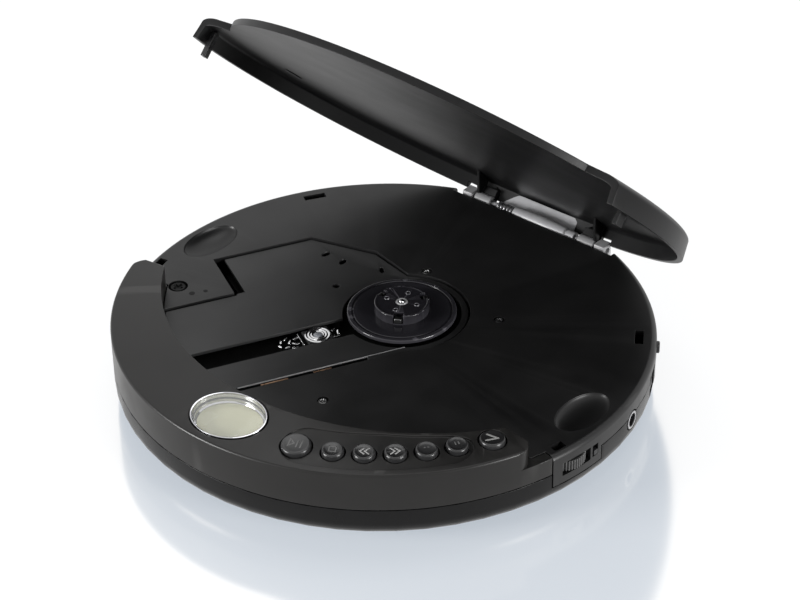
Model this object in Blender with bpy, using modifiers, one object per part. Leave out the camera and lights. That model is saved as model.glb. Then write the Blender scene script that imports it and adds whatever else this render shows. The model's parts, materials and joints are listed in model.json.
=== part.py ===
"""Portable disc player: a round body with a crescent panel, a hinged lid and its mechanism.

Metres, +Z up. The feet stand on z = 0, the crescent panel faces -Y and the hinge lies at +Y.
The lid is modelled shut and then turned open about its hinge, which is the rest pose.
"""

import math

import bmesh
import bpy
from mathutils import Matrix

MM = 0.001

# Shared clearances and roundness
GAP = 0.3 * MM  # between separate pieces
RUN = 0.2 * MM  # round a shaft in its bore
OVER = 1.0 * MM  # how far a cutter runs past what it cuts
BITE = 0.4 * MM  # how far joined solids reach into each other
STEP = 0.2 * MM  # step that keeps two cut faces apart
BODY_SIDES = 60
ROUND_SIDES = 20
OVAL_SIDES = 24
SMALL_SIDES = 12

# Case
BODY_RADIUS = 72.0 * MM
BASE_INSET = 8.5 * MM
WALL = 1.6 * MM
FLOOR_Z = 0.8 * MM
SIDE_BOTTOM_Z = 6.6 * MM
SEAM_Z = 10.9 * MM
DECK_Z = 16.2 * MM
DECK_THICK = 1.6 * MM
SHOULDER = 1.6 * MM
BASE_RADIUS = BODY_RADIUS - BASE_INSET
FLOOR_TOP_Z = FLOOR_Z + WALL
DECK_UNDER_Z = DECK_Z - DECK_THICK
INNER_RADIUS = BODY_RADIUS - WALL
SEAM_LOW_Z = SEAM_Z - GAP / 2
SEAM_HIGH_Z = SEAM_Z + GAP / 2

# Crescent panel
PANEL_ARC_Y = 16.5 * MM  # centre of the arc that its inner edge follows
PANEL_ARC_INSET = 2.0 * MM
PANEL_TILT = math.radians(7.0)
PANEL_RISE = 5.5 * MM  # from the deck to its outer crease
CREASE_ROUND = 0.8 * MM
PANEL_WALL_DEPTH = 1.3 * MM  # how far its inner wall goes below the deck
JOINT_AZIMUTH = math.radians(-15.2)  # upright joint between panel and case
SKIRT_AZIMUTH = math.radians(-19.5)
SKIRT_LAP = 1.534 * MM  # from the skirt's end back to the panel's straight end
PANEL_ARC_RADIUS = BODY_RADIUS - PANEL_ARC_INSET
PANEL_END_Y = BODY_RADIUS * math.sin(SKIRT_AZIMUTH) + SKIRT_LAP
CREASE_Z = DECK_Z + PANEL_RISE
PANEL_WALL_Z = DECK_Z - PANEL_WALL_DEPTH

# Side tab of the upper case round the wheel and the switch
TAB_Z = SIDE_BOTTOM_Z
TAB_AZIMUTHS = (math.radians(-14.9), math.radians(-1.3))

# Disc and hub
DISC_Y = 7.3 * MM  # the turntable's centre lies on x = 0
DISC_RISE = 0.7 * MM  # from the deck to the disc's underside
DISC_PLANE_Z = DECK_Z + DISC_RISE
TURNTABLE_RADIUS = 14.65 * MM
TURNTABLE_THICK = 1.0 * MM
HUB_RADIUS = 7.35 * MM
HUB_HEIGHT = 2.7 * MM
HUB_CHAMFER = 0.4 * MM
HUB_DISH_RADIUS = 6.5 * MM
HUB_DISH_DEPTH = 0.3 * MM
NECK_RADIUS = 3.0 * MM
NECK_HEIGHT = 3.7 * MM
NECK_Z = DISC_PLANE_Z - TURNTABLE_THICK - NECK_HEIGHT
SHAFT_RADIUS = 0.8 * MM
SHAFT_RISE = 3.1 * MM  # of its tip above the disc's underside
SHAFT_TOP_Z = DISC_PLANE_Z + SHAFT_RISE
CLAW_COUNT = 3
CLAW_WIDTH = 2.0 * MM
CLAW_HEIGHT = 1.5 * MM
CLAW_DEPTH = 1.5 * MM
CLAW_REACH = 0.4 * MM  # past the hub's side
CLAW_RISE = 0.5 * MM
CLAW_Z = DISC_PLANE_Z + CLAW_RISE

# Mechanism: its own frame has +X along the pickup's path and its origin at the spindle
PATH_AZIMUTH = math.radians(-118.5)
CHASSIS_Z = 9.8 * MM
CHASSIS_THICK = 1.2 * MM
COVER_THICK = 1.0 * MM
COVER_DROP = 0.5 * MM  # its top lies this far below the deck
COVER_GAP = 0.6 * MM
COVER_PLAY = 1.25 * MM  # round the turntable
COVER_RIM = 2.4 * MM  # from the cover's bore to the deck's opening
COVER_BORE = TURNTABLE_RADIUS + COVER_PLAY
OPENING_RADIUS = COVER_BORE + COVER_RIM
OPENING_SIDE_INSET = 1.3 * MM
OPENING_SIDE = OPENING_RADIUS - OPENING_SIDE_INSET
OPENING_REACH = 66.0 * MM
OPENING_BACK = 26.0 * MM
OPENING_ARC_END = math.radians(243.0)
BAY_NEAR = 9.5 * MM
BAY_FAR = 38.3 * MM
BAY_SIDE = 44.0 * MM
BAY_CORNER_ALONG = 4.6 * MM
BAY_CORNER_SIDE = 29.9 * MM
WIDE_GAP = 3.0 * MM
SLOT_HALF = 4.0 * MM
COVER_TOP_Z = DECK_Z - COVER_DROP
COVER_Z = COVER_TOP_Z - COVER_THICK
CHASSIS_TOP_Z = CHASSIS_Z + CHASSIS_THICK
MOTOR_RADIUS = 10.0 * MM
MOTOR_HEIGHT = 6.0 * MM
SLED_LENGTH = 10.0 * MM
SLED_HEIGHT = 2.2 * MM
SLED_LIFT = 0.4 * MM  # of its underside above the chassis
SLED_Z = CHASSIS_TOP_Z + SLED_LIFT
SLED_TRAVEL_IN = 1.0 * MM
SLED_TRAVEL_OUT = 30.5 * MM
LENS_ALONG = 24.0 * MM
RAIL_RADIUS = 0.75 * MM
RAIL_SIDE = 9.0 * MM
SCREW_RADIUS = 0.75 * MM
RAIL_LIFT = 1.3 * MM  # of its axis above the sled's underside
RAIL_Z = SLED_Z + RAIL_LIFT
BEARING_HALF = 2.0 * MM
SLED_SIDE = RAIL_SIDE + BEARING_HALF + STEP
BEARING_HEIGHT = 2.8 * MM
POST_THICK = 1.8 * MM
POST_HALF = 2.2 * MM
POST_PLAY = 0.5 * MM  # between a post and the sled at the far limit
NEAR_POST_PLAY = 1.0 * MM
NEAR_POST_ALONG = LENS_ALONG - SLED_LENGTH / 2 - SLED_TRAVEL_IN - NEAR_POST_PLAY - POST_THICK
FAR_POST_ALONG = LENS_ALONG + SLED_LENGTH / 2 + SLED_TRAVEL_OUT + POST_PLAY
HOLDER_HALF_LENGTH = 3.6 * MM
HOLDER_HALF_WIDTH = 3.1 * MM
HOLDER_THICK = 1.0 * MM
HOLDER_LIFT = 0.6 * MM  # above the sled's top
HOLDER_Z = SLED_Z + SLED_HEIGHT + HOLDER_LIFT
LENS_RADIUS = 1.9 * MM
LENS_HEIGHT = 1.1 * MM
FEED_MOTOR_RADIUS = 1.85 * MM
FEED_MOTOR_LENGTH = 8.0 * MM
DAMPER_RADIUS = 3.4 * MM
DAMPER_SIDE = SLED_SIDE + GAP + DAMPER_RADIUS
DAMPER_PLACES = ((20.0 * MM, -36.0 * MM), (55.0 * MM, DAMPER_SIDE), (-14.0 * MM, DAMPER_SIDE))
DAMPER_NECK = 2.4 * MM
DAMPER_LIP = 0.9 * MM
DAMPER_BORE = 1.6 * MM
POST_PIN_RADIUS = 1.3 * MM
POST_FOOT_RADIUS = 2.6 * MM

# Display in the crescent
DISPLAY_INSET = 9.7 * MM  # of its centre from the body's outer wall
DISPLAY_RADIUS = BODY_RADIUS - DISPLAY_INSET
DISPLAY_HALF_LONG = 8.9 * MM
DISPLAY_HALF_SHORT = 7.9 * MM
BEZEL_RIM = 0.9 * MM
BEZEL_LEDGE = 0.8 * MM
BEZEL_HEIGHT = 4.2 * MM
BEZEL_PROUD = 0.15 * MM
WINDOW_THICK = 0.9 * MM
WINDOW_DROP = 0.2 * MM
LCD_THICK = 1.3 * MM

# Keys of the panel
KEY_INSET = 7.8 * MM
KEY_RING = BODY_RADIUS - KEY_INSET
KEY_RADIUS = 2.85 * MM
PLAY_RADIUS = 3.8 * MM
OPEN_INSET = 7.0 * MM
OPEN_RING = BODY_RADIUS - OPEN_INSET
OPEN_RADIUS = 3.3 * MM
KEY_PROUD = 0.7 * MM
KEY_ROUND = 0.45 * MM
KEY_FLANGE = 0.7 * MM
KEY_FLANGE_THICK = 0.6 * MM
KEY_STEM_SHARE = 0.45
KEY_TRAVEL = 0.5 * MM
OPEN_TRAVEL = 1.0 * MM
KEY_AZIMUTHS = {
    "play_button": -69.7,
    "stop_button": -61.4,
    "skip_back_button": -54.5,
    "skip_forward_button": -47.7,
    "mode_button": -40.9,
    "program_button": -34.1,
}
OPEN_AZIMUTH = -26.2
KEY_BOARD_LIFT = 0.2 * MM  # above the deck's height
KEY_BOARD_Z = DECK_Z + KEY_BOARD_LIFT
KEY_BOARD_THICK = 1.0 * MM
MEMBRANE_Z = KEY_BOARD_Z + KEY_BOARD_THICK + GAP
MEMBRANE_THICK = 0.9 * MM
KEY_BOARD_INSET = 2.7 * MM
KEY_BOARD_WIDTH = 10.7 * MM
KEY_BOARD_RADII = (BODY_RADIUS - KEY_BOARD_INSET - KEY_BOARD_WIDTH, BODY_RADIUS - KEY_BOARD_INSET)
KEY_BOARD_AZIMUTHS = (math.radians(-150.0), math.radians(-30.5))
MEMBRANE_INSET = 3.4 * MM
MEMBRANE_WIDTH = 8.6 * MM
MEMBRANE_RADII = (BODY_RADIUS - MEMBRANE_INSET - MEMBRANE_WIDTH, BODY_RADIUS - MEMBRANE_INSET)
MEMBRANE_AZIMUTHS = (math.radians(-75.0), math.radians(-31.0))
BOARD_POST_INSET = 5.5 * MM
BOARD_POST_RING = BODY_RADIUS - BOARD_POST_INSET
BOARD_POST_AZIMUTHS = (-48.0, -90.0, -135.0)
BOARD_POST_RADIUS = 1.6 * MM

# Lid and hinge
LID_LIFT = 0.4 * MM  # of its lip above the deck when shut
LID_LIP_Z = DECK_Z + LID_LIFT
LID_CREASE_INSET = 0.7 * MM
LID_CREASE_RADIUS = BODY_RADIUS - LID_CREASE_INSET
LID_CREASE_RISE = 4.7 * MM
LID_CREASE_Z = LID_LIP_Z + LID_CREASE_RISE
LID_SHOULDER_INSET = 5.5 * MM
LID_SHOULDER_RADIUS = BODY_RADIUS - LID_SHOULDER_INSET
LID_SHOULDER_RISE = 2.1 * MM
LID_SHOULDER_Z = LID_CREASE_Z + LID_SHOULDER_RISE
LID_DOME_RISE = 2.2 * MM
LID_TOP_Z = LID_SHOULDER_Z + LID_DOME_RISE
LID_WALL = 1.6 * MM
LID_PLATE = 2.0 * MM
LID_CUT_GAP = 0.4 * MM
HINGE_INSET = 5.4 * MM
HINGE_Y = BODY_RADIUS - HINGE_INSET
HINGE_DEPTH = 1.2 * MM  # of its axis below the deck
HINGE_Z = DECK_Z - HINGE_DEPTH
OPEN_ANGLE = math.radians(44.0)
BARREL_RADIUS = 1.9 * MM
BARREL_INNER_X = 15.4 * MM
BARREL_OUTER_X = 20.8 * MM
ARM_HEIGHT = 4.0 * MM
ARM_TOP_Z = HINGE_Z + ARM_HEIGHT
GUSSET_THICK = 0.9 * MM
GUSSET_REACH = 6.0 * MM
LUG_INNER_X = 21.4 * MM
LUG_THICK = 3.4 * MM
LUG_HALF = 1.9 * MM
POCKET_HALF = 27.8 * MM
POCKET_FRONT = 2.6 * MM  # from the hinge axis forward
POCKET_DEPTH = 3.0 * MM  # from the hinge axis down
POCKET_Y = HINGE_Y - POCKET_FRONT
POCKET_Z = HINGE_Z - POCKET_DEPTH
POCKET_WALL = 1.2 * MM
LUG_SWEEP = 3.2 * MM  # how far round the hinge axis the lid keeps off the lugs
PIN_RADIUS = 0.8 * MM
SHAFT_END_X = 24.0 * MM
BAR_LEFT_X = -7.2 * MM
BAR_RIGHT_X = 10.6 * MM
BAR_RADIUS = 1.3 * MM
BAR_BULGE = 0.3 * MM
COLLAR_X = 13.9 * MM
COLLAR_RADIUS = 1.6 * MM
SPRING_WIRE = 0.5 * MM  # diameter
SPRING_RADIUS = 1.3 * MM  # to the wire's middle
SPRING_PITCH = 1.1 * MM
SPRING_TURNS = 5
SPRING_POINTS_A_TURN = 10
SPRING_NEAR_POINTS = SPRING_POINTS_A_TURN // 2  # points this near along the wire aren't compared
SPRING_START_X = -13.6 * MM
SPRING_LEG = 2.2 * MM
LATCH_INSET = 3.0 * MM
LATCH_RING = BODY_RADIUS - LATCH_INSET
LATCH_AZIMUTH = -11.8
LATCH_REACH = 2.8 * MM  # of the hook's tip below the deck
LATCH_TIP_Z = DECK_Z - LATCH_REACH
LATCH_THICK = 1.4 * MM
LATCH_WIDTH = 2.6 * MM
LATCH_PLAY = 0.5 * MM
SWITCH_TAB_AZIMUTH = 180.0 + 12.9
TAB_ROOT_RISE = 1.3 * MM
TAB_ROOT_Z = LID_CREASE_Z + TAB_ROOT_RISE

# Latch slider under the deck
SLIDER_THICK = 1.2 * MM
SLIDER_DROP = 0.5 * MM  # of its underside below the hook's tip
SLIDER_Z = LATCH_TIP_Z - SLIDER_DROP
SLIDER_HALF = 1.8 * MM
SLIDER_LENGTH = 15.0 * MM
SLIDER_AZIMUTH = math.radians(54.5)
SLIDER_START_BACK = 2.0 * MM

# Deck details
SCOOP_INSET = 8.1 * MM
SCOOP_X = BODY_RADIUS - SCOOP_INSET
SCOOP_Y = 1.0 * MM
SCOOP_HALF_WIDTH = 5.4 * MM
SCOOP_HALF_LENGTH = 9.3 * MM
SCOOP_DEPTH = 2.4 * MM
SCOOP_WALL = 1.2 * MM
REAR_SLOT_INSET = 4.7 * MM
REAR_SLOT_RING = BODY_RADIUS - REAR_SLOT_INSET
REAR_SLOT_AZIMUTHS = (147.0, 33.2)
REAR_SLOT_LENGTH = 6.3 * MM
REAR_SLOT_WIDTH = 2.2 * MM
DECK_HEAD_RADIUS = 2.5 * MM
SMALL_HEAD_RADIUS = 1.3 * MM
DECK_SCREW_INSET = 3.1 * MM  # from the crescent's inner arc
REAR_SCREW_INSET = 2.26 * MM  # from the mechanism's round opening
SIDE_SCREW_INSET = 7.82 * MM
FRONT_SCREW_INSET = 25.83 * MM
# Each screw's round head, then the centre's y, the ring and the azimuth that place it
DECK_SCREW_RINGS = {
    "deck_screw": (DECK_HEAD_RADIUS, PANEL_ARC_Y, PANEL_ARC_RADIUS - DECK_SCREW_INSET, -145.9),
    "mechanism_screw_rear": (SMALL_HEAD_RADIUS, DISC_Y, OPENING_RADIUS + REAR_SCREW_INSET, 110.2),
    "mechanism_screw_side": (SMALL_HEAD_RADIUS, DISC_Y, OPENING_RADIUS + SIDE_SCREW_INSET, 30.1),
    "mechanism_screw_front": (SMALL_HEAD_RADIUS, DISC_Y, OPENING_RADIUS + FRONT_SCREW_INSET, -77.6),
}
DECK_SCREW_LENGTH = 4.6 * MM
DECK_BOSS_WALL = 0.9 * MM
DECK_BOSS_DEPTH = 2.6 * MM

# Side controls and sockets
WHEEL_AZIMUTH = math.radians(-8.6)
WHEEL_RADIUS = 6.1 * MM
WHEEL_PROUD = 0.5 * MM
WHEEL_THICK = 2.8 * MM
WHEEL_RIBS = 48
WHEEL_RIB_DEPTH = 0.25 * MM
WINDOW_WIDTH = 9.8 * MM
WINDOW_HEIGHT = 3.8 * MM
POT_HALF = 3.0 * MM
POT_SHAFT_RADIUS = 1.2 * MM
SWITCH_AZIMUTH = math.radians(-3.2)
SWITCH_Z = 11.0 * MM
SWITCH_WIDTH = 1.5 * MM
SWITCH_SLOT_HEIGHT = 3.4 * MM
SWITCH_TRAVEL = 1.2 * MM
SWITCH_PROUD = 0.15 * MM
SWITCH_PLATE = 0.4 * MM
SWITCH_PLATE_REACH = 2.2 * MM  # sideways, away from the wheel
SWITCH_PLATE_HEIGHT = 5.4 * MM
JACK_AZIMUTH = math.radians(10.9)
JACK_Z = 9.4 * MM
JACK_RADIUS = 2.6 * MM
JACK_BORE = 1.75 * MM
JACK_BORE_DEPTH = 11.0 * MM
JACK_BODY = (10.0 * MM, 7.0 * MM, 6.6 * MM)
JACK_FACE_DEPTH = 2.4 * MM
JACK_FACE = BODY_RADIUS - JACK_FACE_DEPTH
DC_AZIMUTH = math.radians(25.4)
DC_Z = 9.2 * MM
DC_FACE_DEPTH = 0.6 * MM
DC_FACE = BODY_RADIUS - DC_FACE_DEPTH
DC_BODY = (11.0 * MM, 6.0 * MM, 6.2 * MM)
DC_BORE = 2.1 * MM
DC_BORE_DEPTH = 7.5 * MM
DC_PIN = 0.6 * MM
NUB_AZIMUTH = math.radians(33.0)
NUB_PROUD = 0.8 * MM
NUB_WIDTH = 2.4 * MM
NUB_HEIGHT = 2.6 * MM
NUB_Z = 13.4 * MM

# Boards inside the body
BOARD_Z = 4.2 * MM
BOARD_THICK = 1.2 * MM
BOARD_EDGE_INSET = 6.0 * MM
BOARD_X = (23.0 * MM, BODY_RADIUS - BOARD_EDGE_INSET)
BOARD_Y = (-30.0 * MM, 33.0 * MM)
BOARD_INSET = 5.2 * MM
BOARD_RADIUS = BODY_RADIUS - BOARD_INSET
PEG_INSET = 10.0 * MM
BOARD_PEGS = ((28.0 * MM, -24.0 * MM), (28.0 * MM, 24.0 * MM), (BOARD_X[1] - PEG_INSET, 14.0 * MM))
PEG_RADIUS = 2.0 * MM
CHIPS = (
    (27.0 * MM, -6.0 * MM, 14.0 * MM, 14.0 * MM, 1.6 * MM),
    (30.0 * MM, 13.0 * MM, 9.0 * MM, 6.0 * MM, 1.4 * MM),
    (38.0 * MM, -27.0 * MM, 6.0 * MM, 5.0 * MM, 3.0 * MM),
)
FLEX_THICK = 0.2 * MM
FLEX_Y = (-22.0 * MM, -14.0 * MM)
FLEX_FAR_X = 27.0 * MM
FLEX_NEAR_X = -6.0 * MM
FLEX_BEND_SHARES = (0.42, 0.62, 0.8)

# Battery compartment
BAY_HALF = 22.8 * MM
BAY_INSET = 4.9 * MM  # from the base's edge
BAY_LENGTH = 22.2 * MM
BAY_Y = (BASE_RADIUS - BAY_INSET - BAY_LENGTH, BASE_RADIUS - BAY_INSET)
DOOR_LAP = 1.2 * MM
DOOR_HALF = BAY_HALF + DOOR_LAP
DOOR_FRONT_LAP = 1.8 * MM
DOOR_Y = BAY_Y[0] - DOOR_FRONT_LAP
DOOR_THICK = 1.0 * MM
BAY_WALL = 1.2 * MM
BAY_TOP_Z = 13.6 * MM
RAIL_TOP_Z = 3.6 * MM
CONTACT_THICK = 0.4 * MM
CONTACT_HEIGHT = 7.5 * MM
CONTACT_SIDE = 1.0 * MM
DOOR_GRIPS = 4
GRIP_PITCH = 1.6 * MM
GRIP_DEPTH = 0.3 * MM
GRIP_HALF = 5.0 * MM
GRIP_START = 2.9 * MM
GRIP_Y = DOOR_Y + GRIP_START

# Feet and fasteners of the underside
FOOT_INSET = 11.5 * MM
FOOT_RING = BASE_RADIUS - FOOT_INSET
FOOT_AZIMUTHS = {"front_right": -45.0, "rear_right": 45.0, "rear_left": 135.0, "front_left": -135.0}
FOOT_RADIUS = 4.0 * MM
FOOT_SUNK = 0.6 * MM
CASE_SCREWS = {
    "case_screw_front_right": (50.0 * MM, -16.0 * MM),
    "case_screw_rear_right": (50.0 * MM, 28.0 * MM),
    "case_screw_rear_left": (-50.0 * MM, 28.0 * MM),
    "case_screw_front_left": (-50.5 * MM, -22.0 * MM),
}
CASE_HEAD_RADIUS = 2.4 * MM
CASE_HEAD_HEIGHT = 1.3 * MM
CASE_SHANK_RADIUS = 1.1 * MM
CASE_SHANK_TOP_Z = 12.6 * MM
CASE_BOSS_RADIUS = 3.4 * MM
CASE_BOSS_SPLIT_Z = 8.0 * MM
HEAD_TOP_SHARE = 0.8
HEAD_ROUND_SHARE = 0.4
CROSS_SHARE = 0.55
CROSS_WIDTH_SHARE = 0.2
CROSS_DEPTH = 0.5 * MM

TURN = 2 * math.pi

for old in list(bpy.data.objects):
    bpy.data.objects.remove(old, do_unlink=True)
PARTS = bpy.data.collections.new("disc_player")
CUTTERS = bpy.data.collections.new("cutters")
for group in (PARTS, CUTTERS):
    bpy.context.scene.collection.children.link(group)


def panel_top(radius):
    """Height of the crescent's sloping top at a radius from the body's axis."""
    return CREASE_Z + (BODY_RADIUS - radius) * math.tan(PANEL_TILT)


def polar(radius, azimuth):
    return radius * math.cos(azimuth), radius * math.sin(azimuth)


DECK_SCREWS = {}
for screw, (head, centre_y, ring, azimuth) in DECK_SCREW_RINGS.items():
    screw_x, screw_y = polar(ring, math.radians(azimuth))
    DECK_SCREWS[screw] = (screw_x, centre_y + screw_y, head)


def ellipse(centre, half, start, end, count):
    """Points of an elliptical arc, ends included."""
    angles = [start + (end - start) * i / count for i in range(count + 1)]
    return [(centre[0] + half[0] * math.cos(a), centre[1] + half[1] * math.sin(a)) for a in angles]


def linked(name, mesh, cutter=False, parent=None):
    obj = bpy.data.objects.new(name, mesh)
    (CUTTERS if cutter else PARTS).objects.link(obj)
    obj.parent = parent
    if cutter:
        obj.hide_render = True
        obj.display_type = "WIRE"
    return obj


def frame(name, place, turn=(0.0, 0.0, 0.0), parent=None):
    empty = bpy.data.objects.new(name, None)
    CUTTERS.objects.link(empty)
    empty.location = place
    empty.rotation_euler = turn
    empty.parent = parent
    return empty


def from_bmesh(name, shape, cutter, parent):
    mesh = bpy.data.meshes.new(name)
    shape.to_mesh(mesh)
    shape.free()
    return linked(name, mesh, cutter, parent)


def box(name, low, high, cutter=False, parent=None, turn=0.0):
    """A box between two corners, in its parent's frame, turned about the frame's Z."""
    shape = bmesh.new()
    bmesh.ops.create_cube(shape, size=1.0)
    bmesh.ops.scale(shape, vec=[h - l for l, h in zip(low, high)], verts=shape.verts)
    bmesh.ops.translate(shape, vec=[(l + h) / 2 for l, h in zip(low, high)], verts=shape.verts)
    obj = from_bmesh(name, shape, cutter, parent)
    obj.rotation_euler.z = turn
    return obj


def cylinder(name, radius, low, high, centre=(0.0, 0.0), sides=ROUND_SIDES, cutter=False, parent=None,
             axis="Z", half=None):
    """A cylinder from low to high along an axis; half gives an oval's two half widths."""
    shape = bmesh.new()
    bmesh.ops.create_cone(shape, cap_ends=True, segments=sides, radius1=1.0, radius2=1.0, depth=1.0)
    wide = half or (radius, radius)
    bmesh.ops.scale(shape, vec=(wide[0], wide[1], high - low), verts=shape.verts)
    middle = (low + high) / 2
    if axis == "X":
        bmesh.ops.rotate(shape, matrix=Matrix.Rotation(TURN / 4, 3, "Y"), verts=shape.verts)
        place = (middle, centre[0], centre[1])
    else:
        place = (centre[0], centre[1], middle)
    bmesh.ops.translate(shape, vec=place, verts=shape.verts)
    return from_bmesh(name, shape, cutter, parent)


def turned(name, profile, sides=BODY_SIDES, cutter=False, parent=None):
    """A solid of revolution: the profile runs from the axis or a ring's top down its outer side."""
    mesh = bpy.data.meshes.new(name)
    ring = profile[0][0] > 0 and profile[-1][0] > 0
    count = len(profile)
    edges = [(i, i + 1) for i in range(count - 1)] + ([(count - 1, 0)] if ring else [])
    mesh.from_pydata([(r, 0.0, z) for r, z in profile], edges, [])
    obj = linked(name, mesh, cutter, parent)
    spin = obj.modifiers.new("turn", "SCREW")
    spin.steps = spin.render_steps = sides
    spin.use_merge_vertices = True
    spin.merge_threshold = STEP * STEP
    return obj


def prism(name, outline, low, high, cutter=False, parent=None):
    """A flat outline as an extruded curve made a mesh."""
    curve = bpy.data.curves.new(name, "CURVE")
    curve.dimensions = "2D"
    curve.fill_mode = "BOTH"
    curve.extrude = (high - low) / 2
    spline = curve.splines.new("POLY")
    spline.points.add(len(outline) - 1)
    for point, (x, y) in zip(spline.points, outline):
        point.co = (x, y, 0.0, 1.0)
    spline.use_cyclic_u = True
    drawn = bpy.data.objects.new(name + "_outline", curve)
    bpy.context.scene.collection.objects.link(drawn)
    shape = bmesh.new()
    evaluated = drawn.evaluated_get(bpy.context.evaluated_depsgraph_get())
    shape.from_mesh(bpy.data.meshes.new_from_object(evaluated))
    bpy.data.objects.remove(drawn, do_unlink=True)
    bmesh.ops.remove_doubles(shape, verts=shape.verts, dist=STEP * STEP)
    bmesh.ops.translate(shape, vec=(0.0, 0.0, (low + high) / 2), verts=shape.verts)
    return from_bmesh(name, shape, cutter, parent)


def ball(name, half, centre, cutter=False, parent=None):
    shape = bmesh.new()
    bmesh.ops.create_uvsphere(shape, u_segments=ROUND_SIDES, v_segments=SMALL_SIDES, radius=1.0)
    bmesh.ops.scale(shape, vec=half, verts=shape.verts)
    bmesh.ops.translate(shape, vec=centre, verts=shape.verts)
    return from_bmesh(name, shape, cutter, parent)


def combine(target, tool, operation):
    change = target.modifiers.new(tool.name, "BOOLEAN")
    change.operation = operation
    change.solver = "EXACT"
    change.object = tool
    return target


def cut(target, *tools):
    for tool in tools:
        combine(target, tool, "DIFFERENCE")
    return target


def join(target, *tools):
    for tool in tools:
        combine(target, tool, "UNION")
    return target


def keep(target, tool):
    return combine(target, tool, "INTERSECT")


def soften(obj, width, segments=2):
    bevel = obj.modifiers.new("soften", "BEVEL")
    bevel.width = width
    bevel.segments = segments
    bevel.limit_method = "ANGLE"
    return obj


def paint(obj, colour, roughness=0.5, metallic=0.0, alpha=1.0):
    material = bpy.data.materials.new(obj.name)
    material.use_nodes = True
    shader = material.node_tree.nodes["Principled BSDF"]
    shader.inputs["Base Color"].default_value = (*colour, 1.0)
    shader.inputs["Roughness"].default_value = roughness
    shader.inputs["Metallic"].default_value = metallic
    shader.inputs["Alpha"].default_value = alpha
    obj.data.materials.append(material)
    return obj


CHARCOAL = (0.035, 0.035, 0.037)
PANEL_GREY = (0.07, 0.067, 0.065)
BLACK = (0.012, 0.012, 0.013)
STEEL = (0.6, 0.6, 0.61)
GREEN = (0.02, 0.12, 0.06)


def ring_sector(radii, azimuths, count):
    """Outline of a piece of a ring, counted along its outer arc and back along its inner one."""
    outer = ellipse((0.0, 0.0), (radii[1], radii[1]), azimuths[0], azimuths[1], count)
    inner = ellipse((0.0, 0.0), (radii[0], radii[0]), azimuths[1], azimuths[0], count)
    return outer + inner


def crescent_outline(grow):
    """Everything in front of the crescent's inner arc and its two ends, grown or shrunk all round."""
    radius = PANEL_ARC_RADIUS - grow
    end_y = PANEL_END_Y + grow
    half = math.acos((PANEL_ARC_Y - end_y) / radius)
    arc = ellipse((0.0, PANEL_ARC_Y), (radius, radius), -TURN / 4 - half, -TURN / 4 + half, 28)
    far = BODY_RADIUS + OVER * 3
    return arc + [(far, end_y), (far, -far), (-far, -far), (-far, end_y)]


def deck_profile(bottom_z):
    """Deck, rounded shoulder and wall of the upper case."""
    shoulder_z = DECK_Z - SHOULDER
    shoulder = ellipse((BODY_RADIUS - SHOULDER, shoulder_z), (SHOULDER, SHOULDER), TURN / 4, 0.0, 4)
    return [(0.0, DECK_Z), *shoulder, (BODY_RADIUS, bottom_z), (INNER_RADIUS, bottom_z),
            (INNER_RADIUS, DECK_UNDER_Z), (0.0, DECK_UNDER_Z)]


def both_joints(low, high, radii, grow, name):
    """The two short skirts of the panel beside its raised ends, as cutters."""
    start = JOINT_AZIMUTH + grow / BODY_RADIUS
    spans = ((SKIRT_AZIMUTH, start), (TURN / 2 - start, TURN / 2 - SKIRT_AZIMUTH))
    return [prism(f"{name}_{i}", ring_sector(radii, span, 4), low, high, cutter=True)
            for i, span in enumerate(spans)]


HINGE = frame("lid_pivot", (0.0, HINGE_Y, HINGE_Z))
MECHANISM = frame("mechanism_frame", (0.0, DISC_Y, 0.0), (0.0, 0.0, PATH_AZIMUTH))


def opening_outline(inset):
    """Outline of the deck's opening, or of the cover in it, in the mechanism's frame."""
    radius = OPENING_RADIUS - inset
    side = OPENING_SIDE - inset
    start = math.atan2(side, math.sqrt(radius * radius - side * side))
    arc = ellipse((0.0, 0.0), (radius, radius), start, OPENING_ARC_END, 16)
    return [
        (OPENING_REACH, side), *arc,
        (-BAY_CORNER_ALONG + inset, -BAY_CORNER_SIDE + inset),
        (BAY_NEAR + inset / 2, -BAY_SIDE + inset), (BAY_FAR - inset, -BAY_SIDE + inset),
        (BAY_FAR - inset, -OPENING_BACK + inset), (OPENING_REACH, -OPENING_BACK + inset),
    ]


def screw_solid(name, head_radius, head_height, shank_radius, length, parent):
    """A screw whose head's top is at its frame's origin and whose shank runs down from there."""
    cross = head_radius * CROSS_SHARE
    narrow = head_radius * CROSS_WIDTH_SHARE
    profile = [(0.0, 0.0), (head_radius * HEAD_TOP_SHARE, 0.0),
               (head_radius, -head_height * HEAD_ROUND_SHARE), (head_radius, -head_height),
               (shank_radius, -head_height), (shank_radius, -length), (0.0, -length)]
    obj = turned(name, profile, SMALL_SIDES, parent=parent)
    for i, (x, y) in enumerate(((cross, narrow), (narrow, cross))):
        cut(obj, box(f"{name}_cross_{i}", (-x, -y, -CROSS_DEPTH), (x, y, OVER), True, parent))
    return paint(obj, STEEL, 0.35, 1.0)


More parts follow.
